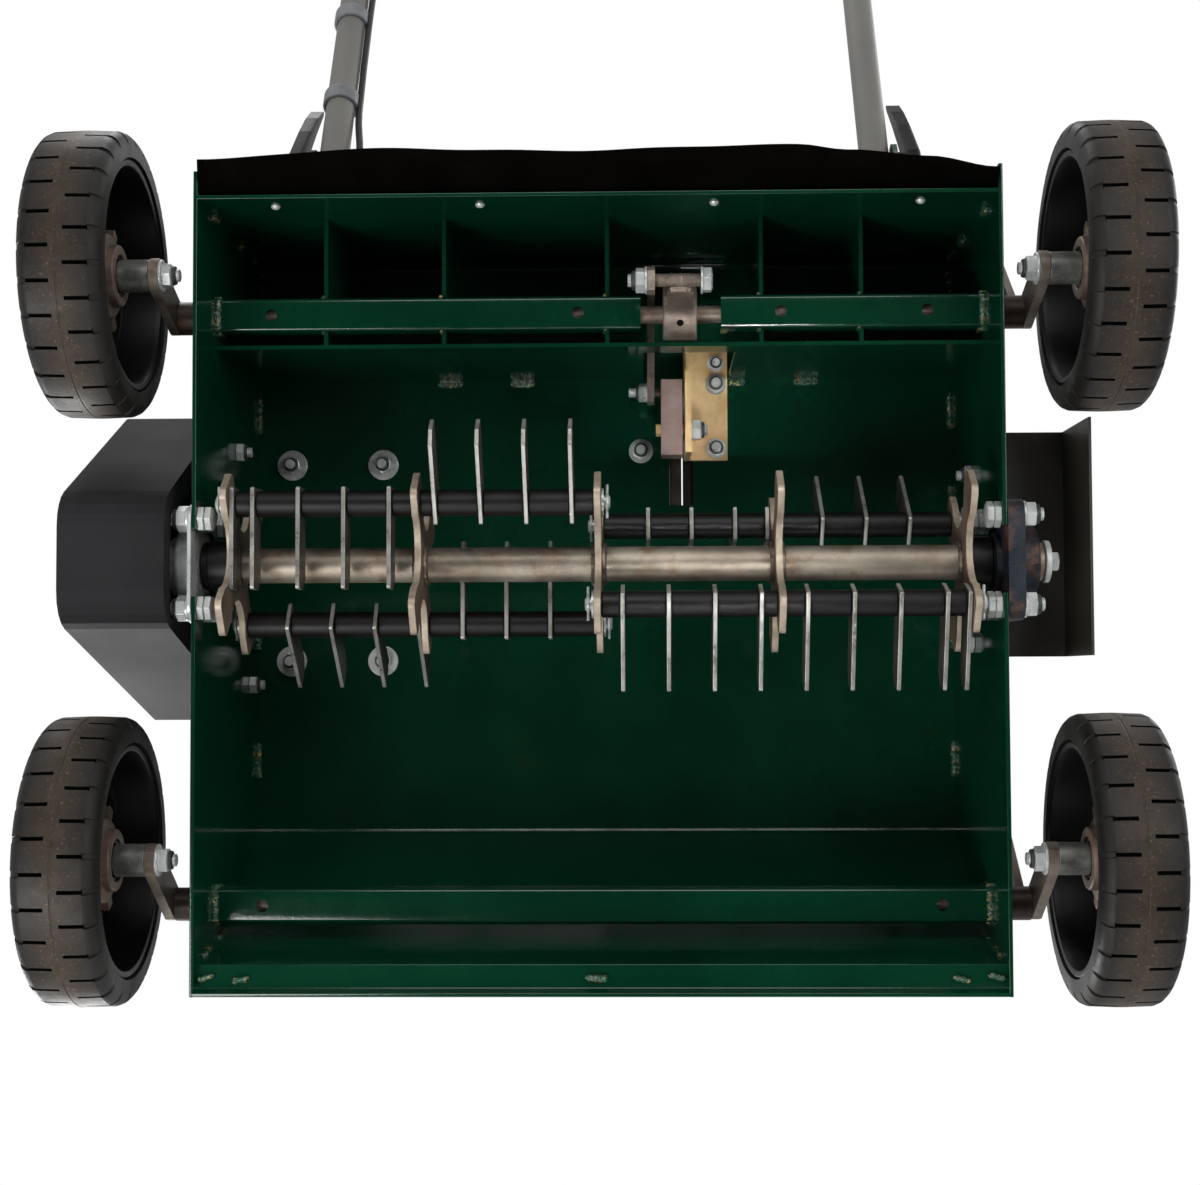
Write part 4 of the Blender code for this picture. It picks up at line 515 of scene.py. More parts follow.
tube_welds = bmesh.new()
for side in (1, -1):
    for axle_y in (REAR_AXLE_Y, FRONT_AXLE_Y):
        x = side * (WALL_IN - 0.001)
        for a, b in ((-1, 1), (1, 1)):
            stitch(tube_welds, (x, along(axle_y) + a * TUBE, AXLE_Z - TUBE * 0.8),
                   (x, along(axle_y) + a * TUBE, AXLE_Z + TUBE * 0.8), 0.0026)
        stitch(tube_welds, (x, along(axle_y) - TUBE, AXLE_Z - TUBE), (x, along(axle_y) + TUBE, AXLE_Z - TUBE),
               0.003)
for x in (0.204, 0.1156, -0.0063, -0.121, -0.1953):
    for y in (REAR_AXLE_Y - TUBE - 0.0006, REAR_AXLE_Y + TUBE + 0.0006):
        stitch(tube_welds, (x + 0.002, along(y), AXLE_Z - TUBE), (x + 0.002, along(y), AXLE_Z - TUBE + 0.012),
               0.0014)
make("tube_welds", tube_welds, [weld_coat_with_painted_glints], "machine")


# Rubber flap: 3 mm sheet rubber held to the outside of the rear wall by four dome rivets. Its free edge
# flares out behind the machine and has taken a slow wave from lying on the ground.
# Sheet rubber, calendered: black and matt, with hardly a highlight.
sheet_rubber = finish("sheet_rubber", "060504", "090807", (0.7, 0.85), patch=40.0, grain=0.8, relief=0.12,
                      shine=0.0)
FLAP = 0.003
flap_wall = REAR_Y + SHEET / 2 + 0.0003 + FLAP / 2
flap_edge = [(0.2857, 0.289), (0.175, 0.2937), (0.08, 0.2935), (-0.017, 0.2917), (-0.145, 0.2954),
             (-0.18, 0.2915), (-0.235, 0.2845), (-0.2857, 0.277)]


def edge_reach(x):
    """How far back the flap's free edge lies at a place across the machine."""
    for (x0, y0), (x1, y1) in zip(flap_edge, flap_edge[1:]):
        if x1 <= x <= x0:
            share = (x0 - x) / (x0 - x1)
            return y0 + (y1 - y0) * share * share * (3 - 2 * share)
    return flap_edge[0][1] if x > 0 else flap_edge[-1][1]


FLAP_COLUMNS = 64
flap_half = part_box("rubber_flap")[1].x
flap = bmesh.new()
rows = []
for n in range(FLAP_COLUMNS + 1):
    x = flap_half - 2 * flap_half * n / FLAP_COLUMNS
    reach = edge_reach(x) - flap_wall
    curl = 0.0035 * math.sin(x * 31.0) + 0.0015 * math.sin(x * 67.0 + 1.0)
    section = [(0.0, 0.128), (0.0, 0.115), (0.0, 0.101), (0.001, 0.0965)]
    section += [(reach * share ** 1.5, 0.0965 - (0.0965 - 0.0805 - curl) * (1 - (1 - share) ** 1.7))
                for share in (0.15, 0.3, 0.45, 0.6, 0.8, 1.0)]
    rows.append([flap.verts.new((x, along(flap_wall + a), b)) for a, b in section])
skin(flap, rows, loop=False)
flap_piece = make("flap", flap, [sheet_rubber], "machine", ["rubber_flap"], bevel=0.0004,
                  gauge=FLAP)

# Zinc-plated steel, bright passivated: a cool silver with soft clouds of gloss.
zinc = finish("bright_zinc_plate", "b4b8b7", "d4d7d5", (0.24, 0.34), metallic=0.35, patch=24.0, grain=1.5,
              relief=0.03)
RIVET = 0.0036
rivets = bmesh.new()
for x in (0.234, 0.085, -0.085, -0.234):
    head = [(0.0, RIVET), (0.0012, RIVET * 0.86), (0.0022, RIVET * 0.55), (0.0027, 0.0)]
    lathe(rivets, head, (x, along(REAR_Y - SHEET / 2), 0.11), (0, -1, 0), 24)
    lathe(rivets, head, (x, along(flap_wall + FLAP / 2), 0.11), (0, 1, 0), 24)
make("flap_rivets", rivets, [zinc], "machine")


# Rotor: a steel tube and shaft with five laser-cut plates of four lobes each, welded round the tube.
# It is bare steel that has been blasted and oiled, so it is a warm grey with a low sheen.
rotor_steel = finish("oiled_bare_steel", "857a6c", "b3a899", (0.42, 0.52), metallic=0.7, patch=26.0,
                     grain=0.5, relief=0.1, stretch=(0.6, 1.0, 1.0))
dirty(rotor_steel, "7c5f48", 24.0, 0.4, 0.1)
dirty(rotor_steel, "565654", 70.0, 0.36, 0.08)
# Laser-cut plate, mill finish: darker than the tube, with a brown oxide bloom. Its cut edge is pale and clean.
plate_steel = finish("laser_cut_plate", "6b5a4c", "8a7868", (0.45, 0.58), metallic=0.35, patch=30.0,
                     grain=0.6, relief=0.1)
dirty(plate_steel, "5a4334", 26.0, 0.36, 0.1)
cut_edge = finish("laser_cut_edge", "a39382", "c9baa6", (0.4, 0.52), metallic=0.3, patch=12.0, grain=0.5,
                  relief=0.1)
PLATES = (0.265, 0.1295, 0.0, -0.1295, -0.265)
PLATE_HALF = 0.0025
ROTOR_TUBE = 0.01275
SHAFT = 0.01
SHAFT_ENDS = (0.357, -0.3262)
LOBE_REACH = 0.0715
LOBE_HALF = 0.0155
LOBE_CORNER = 0.006
LOBE_STRAIGHT = 0.052
WAIST = 0.026
ROD_ANGLE = 53.9


def arc(y, z, radius, start, end, steps):
    """Points on a circle between two angles in degrees, from +Y towards +Z."""
    angles = [math.radians(start + (end - start) * step / steps) for step in range(steps + 1)]
    return [(y + radius * math.cos(angle), z + radius * math.sin(angle)) for angle in angles]


def turned(points, centre, degrees):
    """Flat (along, across) points laid in the Y-Z plane round a centre, at an angle from +Y."""
    cosine, sine = math.cos(math.radians(degrees)), math.sin(math.radians(degrees))
    return [(centre.y + u * cosine - v * sine, centre.z + u * sine + v * cosine) for u, v in points]


near = WAIST / math.sqrt(2)
hollow = (LOBE_STRAIGHT ** 2 + LOBE_HALF ** 2 - 2 * near ** 2) / (2 * (LOBE_STRAIGHT + LOBE_HALF - 2 * near))
hollow_radius = math.hypot(LOBE_STRAIGHT - hollow, LOBE_HALF - hollow)
hollow_start = math.degrees(math.atan2(LOBE_HALF - hollow, LOBE_STRAIGHT - hollow))
lobe = arc(LOBE_REACH - LOBE_CORNER, LOBE_CORNER - LOBE_HALF, LOBE_CORNER, -90, 0, 4)
lobe += arc(LOBE_REACH - LOBE_CORNER, LOBE_HALF - LOBE_CORNER, LOBE_CORNER, 0, 90, 4)
lobe += arc(hollow, hollow, hollow_radius, hollow_start, -270.0 - hollow_start, 9)
rotor_outline = [point for quarter in range(4)
                 for point in turned(lobe, ROTOR, ROD_ANGLE - 90.0 + 90.0 * quarter)]
rotor = bmesh.new()
edge = 0.0008
shaft_line = [(SHAFT_ENDS[1], SHAFT - edge), (SHAFT_ENDS[1] + edge, SHAFT), (-PLATES[0], SHAFT),
              (-PLATES[0], ROTOR_TUBE), (PLATES[0], ROTOR_TUBE), (PLATES[0], SHAFT),
              (SHAFT_ENDS[0] - edge, SHAFT), (SHAFT_ENDS[0], SHAFT - edge)]
lathe(rotor, shaft_line, (0.0, ROTOR.y, ROTOR.z), steps=56)
for x in PLATES:
    slab(rotor, rotor_outline, x - PLATE_HALF, x + PLATE_HALF, 1, rim=2)
make("rotor_tube_and_plates", rotor, [rotor_steel, plate_steel, cut_edge], "rotor",
     ["rotor_frame"], bevel=0.0005)
# Weld metal: the same steel, brighter and rippled, with the brown heat bloom of bare welds.
weld_steel = finish("bare_weld", "5d4f45", "9c9084", (0.32, 0.5), metallic=0.8, patch=5.0, grain=0.5,
                    relief=0.25)
rotor_welds = bmesh.new()
for x in PLATES:
    for side in (1, -1):
        if abs(x + side * 0.01) > PLATES[0]:
            continue
        ring = arc(ROTOR.y, ROTOR.z, ROTOR_TUBE + 0.0008, 0, 356, 44)
        weld_x = x + side * (PLATE_HALF + 0.0008)
        sweep(rotor_welds, [(weld_x, *point) for point in ring + ring[:1]], 0.0024, 8, 0, 0.12)
make("rotor_welds", rotor_welds, [weld_steel], "rotor")


# Blades: 3 mm hardened steel flats with a bevelled tip corner, hung loose on four rods between the plates.
# Black polyamide spacer tubes keep them apart, and a washer and a spring clip close each rod's ends.
# Hardened sheet steel, tumbled: dark faces with brown clouds, and pale edges where it was ground.
blade_steel = finish("hardened_blade_steel", "4f4a43", "76706a", (0.34, 0.46), metallic=0.6, patch=30.0,
                     grain=0.35, relief=0.08)
dirty(blade_steel, "5d4b3d", 34.0, 0.4, 0.12)
ground_edge = finish("ground_blade_edge", "918e87", "bebcb6", (0.26, 0.36), metallic=0.55, patch=18.0,
                     grain=0.3, relief=0.05)
# Polyamide, extruded: black, with a satin skin that is drawn out along the tube.
polyamide = finish("black_polyamide", "090808", "120f0f", (0.38, 0.5), patch=30.0, grain=0.5, relief=0.08,
                   stretch=(0.3, 1.0, 1.0), shine=0.3)
BLADE_HALF = 0.0015
BLADE_WIDTH = 0.025
BLADE_REACH = 0.0615
BLADE_TAIL = 0.0115
BLADE_BEVEL = 0.008
PITCH = 0.03246
SLEEVE = 0.0095
SLEEVE_BORE = 0.0054
blade_seat = PLATE_HALF + 0.0006 + BLADE_HALF
GANGS = {
    "left_upper_outer": ([0.2456 - PITCH * n for n in range(4)] + [PLATES[0] - blade_seat], 180.0),
    "left_upper_inner": ([0.2456 - PITCH * n for n in range(4, 8)], -35.0),
    "left_lower_outer": ([0.2314 - PITCH * n for n in range(3)] + [PLATES[1] + blade_seat], 128.0),
    "left_lower_inner": ([0.2314 - PITCH * n for n in range(4, 7)], 0.0),
    "right_lower_inner": ([-0.0177 - PITCH * n for n in range(4)], 162.0),
    "right_lower_outer": ([-0.0177 - PITCH * n for n in range(4, 8)] + [blade_seat - PLATES[0]], 162.0),
    "right_upper_inner": ([-0.036 - PITCH * n for n in range(3)] + [blade_seat - PLATES[1]], 96.0),
    "right_upper_outer": ([-0.036 - PITCH * n for n in range(4, 7)], 55.0),
}
blade_line = rounded([(-BLADE_TAIL, BLADE_WIDTH / 2), (-BLADE_TAIL, -BLADE_WIDTH / 2),
                      (BLADE_REACH - BLADE_BEVEL, -BLADE_WIDTH / 2),
                      (BLADE_REACH, BLADE_BEVEL - BLADE_WIDTH / 2), (BLADE_REACH, BLADE_WIDTH / 2)], 0.002, 3)
for gang, (places, direction) in GANGS.items():
    pin = spot("swing_" + gang)
    low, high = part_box("gang_" + gang)
    blades = bmesh.new()
    for x in places:
        slab(blades, turned(blade_line, pin, direction), x - BLADE_HALF, x + BLADE_HALF, 1, rim=2)
    stops = sorted([low.x, high.x] + [x + side * (BLADE_HALF + 0.0002) for x in places for side in (1, -1)])
    for start, end in zip(stops, stops[1:]):
        if end - start > 2 * BLADE_HALF + 0.001:
            shoulder = [(start, SLEEVE_BORE), (start, SLEEVE - 0.0006), (start + 0.0006, SLEEVE),
                        (end - 0.0006, SLEEVE), (end, SLEEVE - 0.0006), (end, SLEEVE_BORE)]
            lathe(blades, shoulder, (0.0, pin.y, pin.z), steps=36, closed=True)
    make("blades_" + gang + "_set", blades, [polyamide, blade_steel, ground_edge], "blades_" + gang,
         ["gang_" + gang], bevel=0.0004)

ROD = 0.005
ROD_SHORT = 0.0015
RODS = ["blade_rod_" + where for where in ("left_upper", "left_lower", "right_lower", "right_upper")]
rods = bmesh.new()
clips = bmesh.new()
for name in RODS:
    low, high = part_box(name)
    y, z = (low.y + high.y) / 2, (low.z + high.z) / 2
    first, last = low.x + ROD_SHORT, high.x - ROD_SHORT
    chamfer = [(first, ROD - 0.001), (first + 0.001, ROD), (last - 0.001, ROD), (last, ROD - 0.001)]
    lathe(rods, chamfer, (0.0, y, z), steps=28)
    for end, side in ((low.x, -1), (high.x, 1)):
        face = end - side * 0.008
        ring = [(0.0003, 0.0056), (0.0003, 0.01), (0.0018, 0.01), (0.0018, 0.0056)]
        lathe(clips, ring, (face, y, z), (side, 0, 0), 32, closed=True)
        wire_x = face + side * 0.0042
        sweep(clips, [(wire_x, y - 0.0115, z + 0.0005), (wire_x, y + 0.0125, z - 0.001)], 0.0011, 10)
        sweep(clips, [(wire_x, *point) for point in arc(y, z, 0.0066, 130, 400, 22)], 0.001, 10)
make("blade_rods", rods, [zinc], "rotor", RODS)
make("rod_washers_and_clips", clips, [zinc], "rotor")

# End sleeves: turned black polyamide bushes that keep grass off the shaft, beside the end plates.
for side, name in ((1, "end_sleeve_left"), (-1, "end_sleeve_right")):
    low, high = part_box(name)
    start, end = (low.x, high.x) if side > 0 else (high.x, low.x)
    run = [(start, SHAFT + 0.0004), (start, 0.018), (start + side * 0.001, 0.019),
           (end - side * 0.006, 0.019), (end - side * 0.005, 0.0176), (end - side * 0.001, 0.0176),
           (end, 0.0166), (end, SHAFT + 0.0004)]
    bush = bmesh.new()
    lathe(bush, run, (0.0, ROTOR.y, ROTOR.z), steps=48, closed=True)
    make(name + "_bush", bush, [polyamide], "rotor", [name], bevel=0.0003)


# Bearings: cast flanges with a ball race, each held to its wall by four M10 bolts. The left one is bright
# zinc plated, and the right one is bare cast iron, blue-black with rust at its rim.
# Cast iron, sand cast: blue-black and grainy, with brown patches of rust.
cast_iron = finish("blued_cast_iron", "141a22", "27303c", (0.45, 0.6), metallic=0.4, patch=24.0, grain=1.2,
                   relief=0.35)
dirty(cast_iron, "6b4a38", 26.0, 0.42, 0.1)


def hexagon(bm, place, axis, across, height, look=0):
    """A hexagon head or nut with chamfered corners, standing on a place."""
    corner = across / 2 / math.cos(math.pi / 6)
    chamfer = across * 0.07
    profile = [(0.0, corner), (height - chamfer, corner), (height, corner - 2 * chamfer)]
    lathe(bm, profile, place, axis, 6, look)


def washer(bm, place, axis, radius, thickness=0.002, look=0):
    """A flat washer lying on a place."""
    rim = thickness * 0.2
    lathe(bm, [(0.0, radius), (thickness - rim, radius), (thickness, radius - rim)], place, axis, 36, look)


def nut(bm, place, axis, thread, tail=0.004, cap=1, look=0, flat=0.0, thick=0.002):
    """A self-locking nut with its nylon collar and the bolt's end, on a washer if its radius is given."""
    place, axis = Vector(place), Vector(axis)
    if flat:
        washer(bm, place, axis, flat, thick, look)
        place = place + axis * thick
    hexagon(bm, place, axis, thread * 1.65, thread * 0.75, look)
    collar = [(0.0, thread * 0.74), (thread * 0.22, thread * 0.7), (thread * 0.27, thread * 0.58)]
    lathe(bm, collar, place + axis * thread * 0.74, axis, 28, cap)
    start = thread * 0.98
    pitch = thread * 0.15
    turns = max(2, round(tail / pitch))
    end = []
    for number in range(turns):
        end += [(start + number * pitch, thread * 0.44), (start + (number + 0.5) * pitch, thread * 0.5)]
    lathe(bm, end + [(start + turns * pitch, thread * 0.42)], place, axis, 24, look)


def bolt(bm, place, axis, thread, look=0, flat=0.0):
    """A hexagon bolt head, on a washer if its radius is given."""
    place, axis = Vector(place), Vector(axis)
    if flat:
        washer(bm, place, axis, flat, 0.0016, look)
        place = place + axis * 0.0016
    hexagon(bm, place, axis, thread * 1.65, thread * 0.64, look)


# Nylon ring of a self-locking nut, moulded and greyed with oil.
nylon = finish("nylon_locking_ring", "202326", "34383b", (0.45, 0.6), patch=8.0, grain=0.4, relief=0.05)
fixings = [zinc, nylon]
M10 = 0.01
M8 = 0.008
HEAD = 0.0165
HEAD_HALF = 0.0053
BOLT_HALF = 0.032
FLANGE_HALF = 0.043
BEARING_FLANGE = {1: 0.0033, -1: 0.0126}
flange = rounded(oblong(along(-FLANGE_HALF), along(FLANGE_HALF), ROTOR.z - FLANGE_HALF,
                        ROTOR.z + FLANGE_HALF), 0.014, 8)
casting = bmesh.new()
slab(casting, flange, -HALF_WIDTH - 0.0126, -HALF_WIDTH - 0.0005)
boss = [(-0.0035, 0.019), (-0.0035, 0.0215), (0.011, 0.0215), (0.011, 0.03), (0.014, 0.029), (0.017, 0.0268),
        (0.0255, 0.0258), (0.027, 0.0243), (0.027, 0.015), (0.026, 0.014), (0.026, 0.019)]
lathe(casting, boss, (-HALF_WIDTH, ROTOR.y, ROTOR.z), (-1, 0, 0), 56, closed=True)
race = [(0.006, 0.0106), (0.006, 0.0185), (0.0264, 0.0185), (0.0264, 0.0138), (0.032, 0.0138),
        (0.0325, 0.0132), (0.0325, 0.0106)]
lathe(casting, race, (-HALF_WIDTH, ROTOR.y, ROTOR.z), (-1, 0, 0), 48, 1, closed=True)
make("bearing_right_casting", casting, [cast_iron, rotor_steel], "machine", ["bearing_right"],
     bevel=0.0008)
pressing = bmesh.new()
slab(pressing, flange, HALF_WIDTH + 0.0005, HALF_WIDTH + 0.0032)
dome = [(0.0032, 0.0105), (0.0032, 0.0335), (0.005, 0.032), (0.0135, 0.0305), (0.016, 0.028),
        (0.0165, 0.0215), (0.022, 0.021), (0.0225, 0.0195), (0.0225, 0.0105)]
lathe(pressing, dome, (HALF_WIDTH, ROTOR.y, ROTOR.z), (1, 0, 0), 56, closed=True)
make("bearing_left_pressing", pressing, [zinc], "machine", ["bearing_left"], bevel=0.0005)
bearing_bolts = bmesh.new()
for side in (1, -1):
    for y, z in oblong(along(-BOLT_HALF), along(BOLT_HALF), ROTOR.z - BOLT_HALF, ROTOR.z + BOLT_HALF):
        nut(bearing_bolts, (side * (HALF_WIDTH + BEARING_FLANGE[side]), y, z), (side, 0, 0), M10, 0.003,
            flat=0.0095)
        for lift in (0.0002, 0.0056):
            hexagon(bearing_bolts, (side * (WALL_IN - lift), y, z), (-side, 0, 0), HEAD, HEAD_HALF)
make("bearing_bolts", bearing_bolts, fixings, "machine", bevel=0.0003)
shaft_end = bmesh.new()
disc = [(0.0, 0.0148), (0.0006, 0.0154), (0.0036, 0.0154), (0.0042, 0.0148)]
lathe(shaft_end, disc, (SHAFT_ENDS[1] + 0.0042, ROTOR.y, ROTOR.z), (-1, 0, 0), 44)
washer(shaft_end, (SHAFT_ENDS[1] - 0.0001, ROTOR.y, ROTOR.z), (-1, 0, 0), 0.0085, 0.0015)
hexagon(shaft_end, (SHAFT_ENDS[1] - 0.0016, ROTOR.y, ROTOR.z), (-1, 0, 0), 0.013, 0.0055)
make("shaft_end_bolt", shaft_end, [zinc], "rotor", bevel=0.0003)


# Belt drive: two cast pulleys and a wrapped V-belt, behind a folded steel cover on the left wall.
# Cast aluminium alloy, shot blasted: an even light grey with a fine grain.
cast_alloy = finish("cast_aluminium_alloy", "8d8e90", "9c9d9c", (0.36, 0.48), metallic=0.75, patch=70.0,
                    grain=0.7, relief=0.18)
keep(cast_alloy, "rotor_pulley", "engine_pulley", bevel=0.0005)
keep(sheet_rubber, "drive_belt", bevel=0.001)
# Textured powder coat on steel: charcoal, satin, with a fine even grain that breaks up highlights.
charcoal_coat = finish("charcoal_powder_coat", "1e1e20", "272729", (0.6, 0.7), patch=160.0, grain=1.1,
                       relief=0.12, shine=0.1)
dirty(charcoal_coat, "2b2a29", 60.0, 0.32, 0.08)
keep(charcoal_coat, "belt_cover", bevel=0.001)
cover_bolts = bmesh.new()
nut(cover_bolts, (WALL_IN - 0.0002, along(0.095), 0.226), (-1, 0, 0), M8)
nut(cover_bolts, (WALL_IN - 0.0002, along(-0.0875), ROTOR.z + 0.15), (-1, 0, 0), M8)
cover_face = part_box("belt_cover")[1].x
for y, z in ((0.085, 0.455), (-0.085, 0.455), (0.0, 0.13)):
    bolt(cover_bolts, (cover_face, along(y), z), (1, 0, 0), 0.0065, flat=0.0085)
make("cover_nuts", cover_bolts, fixings, "machine", bevel=0.0003)

# Side guard: folded 2 mm steel over the right bearing, painted olive black and rubbed at the edges.
guard_paint = finish("olive_black_paint", "24221d", "36332c", (0.36, 0.5), patch=120.0, grain=1.5,
                     relief=0.08, shine=0.4)
dirty(guard_paint, "4a3f33", 50.0, 0.34, 0.1)
keep(guard_paint, "side_guard", bevel=0.0006)
guard_bolts = bmesh.new()
for y in (0.072, -0.057):
    nut(guard_bolts, (-WALL_IN + 0.0002, along(y), 0.214), (1, 0, 0), M8)
    bolt(guard_bolts, (-HALF_WIDTH - 0.0024, along(y), 0.214), (-1, 0, 0), M8)
make("guard_bolts", guard_bolts, fixings, "machine", bevel=0.0003)


# Engine bolts: four M8 bolts on wide washers, under the deck's top plate.
ENGINE_MIDDLE = (0.2198, 0.0127)
ENGINE_BOLT_X = 0.03775
engine_nuts = bmesh.new()
for x in (ENGINE_BOLT_X, -ENGINE_BOLT_X):
    for y in (0.081, -0.081):
        nut(engine_nuts, (ENGINE_MIDDLE[0] + x, along(ENGINE_MIDDLE[1] + y), ROOF_Z), (0, 0, -1), M8, 0.006,
            flat=0.0125)
make("engine_nuts", engine_nuts, fixings, "machine", bevel=0.0003)


# Wheels: a solid rubber tyre, moulded with two staggered rows of cross grooves, on a deep dished rim of
# black polypropylene. A stepped alloy hub with lugs carries it on the stub axle.
WHEEL_IN = 0.333
WHEEL_OUT = 0.391
RIM = 0.084
GROOVES = 27
GROOVE_DEPTH = 0.0042
# Tyre rubber, moulded: near black, and browned with dry dust along the tread. The grooves take a blacker
# rubber, which is painted shade in the recesses.
tyre_rubber = finish("dusty_tyre_rubber", "0f0f10", "191817", (0.45, 0.7), patch=60.0, grain=0.9, relief=0.22,
                     shine=0.35)
dirty(tyre_rubber, "3e342a", 12.0, 0.62, 0.25, band=(0.362, 0.022))
dirty(tyre_rubber, "6d5b42", 2.5, 0.38, 0.04, band=(0.362, 0.022))
# Blacker rubber for painted shade: in the tyre's grooves and in the collar's hole.
painted_shade_rubber = finish("black_rubber_for_painted_shade", "040404", "090808", (0.7, 0.85), patch=20.0, grain=0.9,
                       relief=0.15, shine=0.1)
# Polypropylene, injection moulded: black with a satin skin and a faint flow pattern.
polypropylene = finish("black_polypropylene", "070707", "0e0d0d", (0.38, 0.5), patch=45.0, grain=0.7,
                       relief=0.08, shine=0.25)
# Die-cast alloy hub, tarnished: brown grey and grainy, with darker clouds.
hub_alloy = finish("tarnished_die_casting", "5f4f45", "8b7769", (0.42, 0.56), metallic=0.45, patch=20.0,
                   grain=0.7, relief=0.22)
dirty(hub_alloy, "5a4132", 16.0, 0.38, 0.1)
row_stops = (-0.1, -0.085, -0.058, -0.046, 0.046, 0.058, 0.085, 0.1)
pitch_stops = [*row_stops, 0.25, *(0.5 + stop for stop in row_stops), 0.75]
tyre_section = [(0.0, RIM), (0.0, 0.0925), (0.0008, 0.096), (0.0022, 0.0985), (0.0045, 0.1008),
                (0.0078, 0.1021), (0.008, 0.1021), (0.024, 0.1027), (0.0242, 0.1027), (0.0282, 0.1028),
                (0.0286, 0.1025), (0.0294, 0.1025), (0.0298, 0.1028), (0.0338, 0.1027), (0.034, 0.1027),
                (0.05, 0.1021), (0.0502, 0.1021), (0.0535, 0.1008), (0.0558, 0.0985), (0.0572, 0.096),
                (0.058, 0.0925), (0.058, RIM)]


def groove_cut(across, stop):
    """How deep the tread is cut: a groove in each half, half a pitch apart, and a notch beside it."""
    reach, offset = abs(across - 0.029), abs(stop - (0.0 if across < 0.029 else 0.5))
    if 0.0049 < reach < 0.0211 and offset < 0.05:
        return GROOVE_DEPTH
    return 0.002 if 0.0211 < reach < 0.0285 and offset < 0.09 else 0.0


rim_line = RIM - 0.0003
dish = [(0.004, rim_line), (0.003, rim_line), (0.0015, rim_line - 0.002), (0.0022, rim_line - 0.0055),
        (0.007, rim_line - 0.0065), (0.032, rim_line - 0.009), (0.035, rim_line - 0.012),
        (0.035, rim_line - 0.02), (0.0335, rim_line - 0.022), (0.0335, 0.045), (0.0345, 0.038),
        (0.0348, 0.024), (0.0348, 0.0076), (0.043, 0.0076), (0.043, 0.024), (0.04, 0.033), (0.039, 0.045),
        (0.04, rim_line - 0.014), (0.048, rim_line - 0.01), (0.0545, rim_line - 0.008),
        (0.056, rim_line - 0.002), (0.055, rim_line)]
hub_steps = [(0.0165, 0.012), (0.0165, 0.015), (0.0122, 0.0152), (0.0115, 0.016), (0.0115, 0.0208),
             (0.0125, 0.0222), (0.018, 0.0228), (0.0188, 0.029), (0.02, 0.0306), (0.0272, 0.0312),
             (0.028, 0.0362), (0.029, 0.0374), (0.0346, 0.0378), (0.0346, 0.0078), (0.02, 0.0078)]
seal = [(0.0145, 0.012), (0.0132, 0.0126), (0.0132, 0.0144), (0.0145, 0.0149), (0.0165, 0.0149),
        (0.0165, 0.012)]
lug = [(0.029, -0.0052), (0.0412, -0.0045), (0.0412, 0.0045), (0.029, 0.0052)]
for end in ("rear", "front"):
    for side, hand in ((1, "left"), (-1, "right")):
        name = "wheel_" + end + "_" + hand
        hub = spot("spin_" + end + "_" + hand)
        inside, outwards = (side * WHEEL_IN, hub.y, hub.z), (side, 0, 0)
        tyre = bmesh.new()
        rings = []
        cut = set()
        for number in range(GROOVES * len(pitch_stops)):
            turn, index = divmod(number, len(pitch_stops))
            angle = 2 * math.pi * (turn + pitch_stops[index]) / GROOVES
            spoke = Vector((0.0, math.sin(angle), math.cos(angle)))
            rings.append([])
            for across, radius in tyre_section:
                depth = groove_cut(across, pitch_stops[index])
                place = Vector((side * (WHEEL_IN + across), hub.y, hub.z)) + spoke * (radius - depth)
                rings[-1].append(tyre.verts.new(place))
                if depth == GROOVE_DEPTH:
                    cut.add(rings[-1][-1])
        skin(tyre, rings, closed=True)
        # Faces down in the grooves take the blacker rubber: painted shade.
        for face in tyre.faces:
            face.material_index = int(not cut.isdisjoint(face.verts))
        make(name + "_tread", tyre, [tyre_rubber, painted_shade_rubber], name, [name + "_tyre"])

        wheel = bmesh.new()
        lathe(wheel, dish, inside, outwards, 72, closed=True)
        for number in range(12):
            rib = turned(oblong(0.03, 0.07, -0.0012, 0.0012), hub, 30 * number)
            slab(wheel, rib, side * (WHEEL_IN + 0.04), side * (WHEEL_IN + 0.047))
        make(name + "_dish", wheel, [polypropylene], name, [name + "_rim"], bevel=0.0006)

        core = bmesh.new()
        lathe(core, hub_steps, inside, outwards, 56, closed=True)
        lathe(core, seal, inside, outwards, 48, 1, closed=True)
        for number in range(6):
            slab(core, turned(lug, hub, 30 + 60 * number), side * (WHEEL_IN + 0.0215),
                 side * (WHEEL_IN + 0.0345))
        make(name + "_hub", core, [hub_alloy, polyamide], name, bevel=0.0006)


# Axles: a 13 mm shaft through each cross tube, with flat arms welded to its ends that carry the stub axles.
# The steel is bare and oiled: grey brown, with turned spacers and self-locking nuts on the stubs.
axle_steel = finish("oiled_brown_steel", "6b5f56", "93877b", (0.4, 0.52), metallic=0.5, patch=30.0, grain=0.6,
                    relief=0.14)
dirty(axle_steel, "5b473a", 24.0, 0.4, 0.1)
keep(axle_steel, "front_axle", "tie_rod", bevel=0.0006)
# Flat bar, rolled and browned by oil and hands: dark, with a low sheen.
browned_bar = finish("browned_flat_bar", "2c241f", "4a3b32", (0.38, 0.52), metallic=0.5, patch=30.0,
                     grain=0.5, relief=0.12)
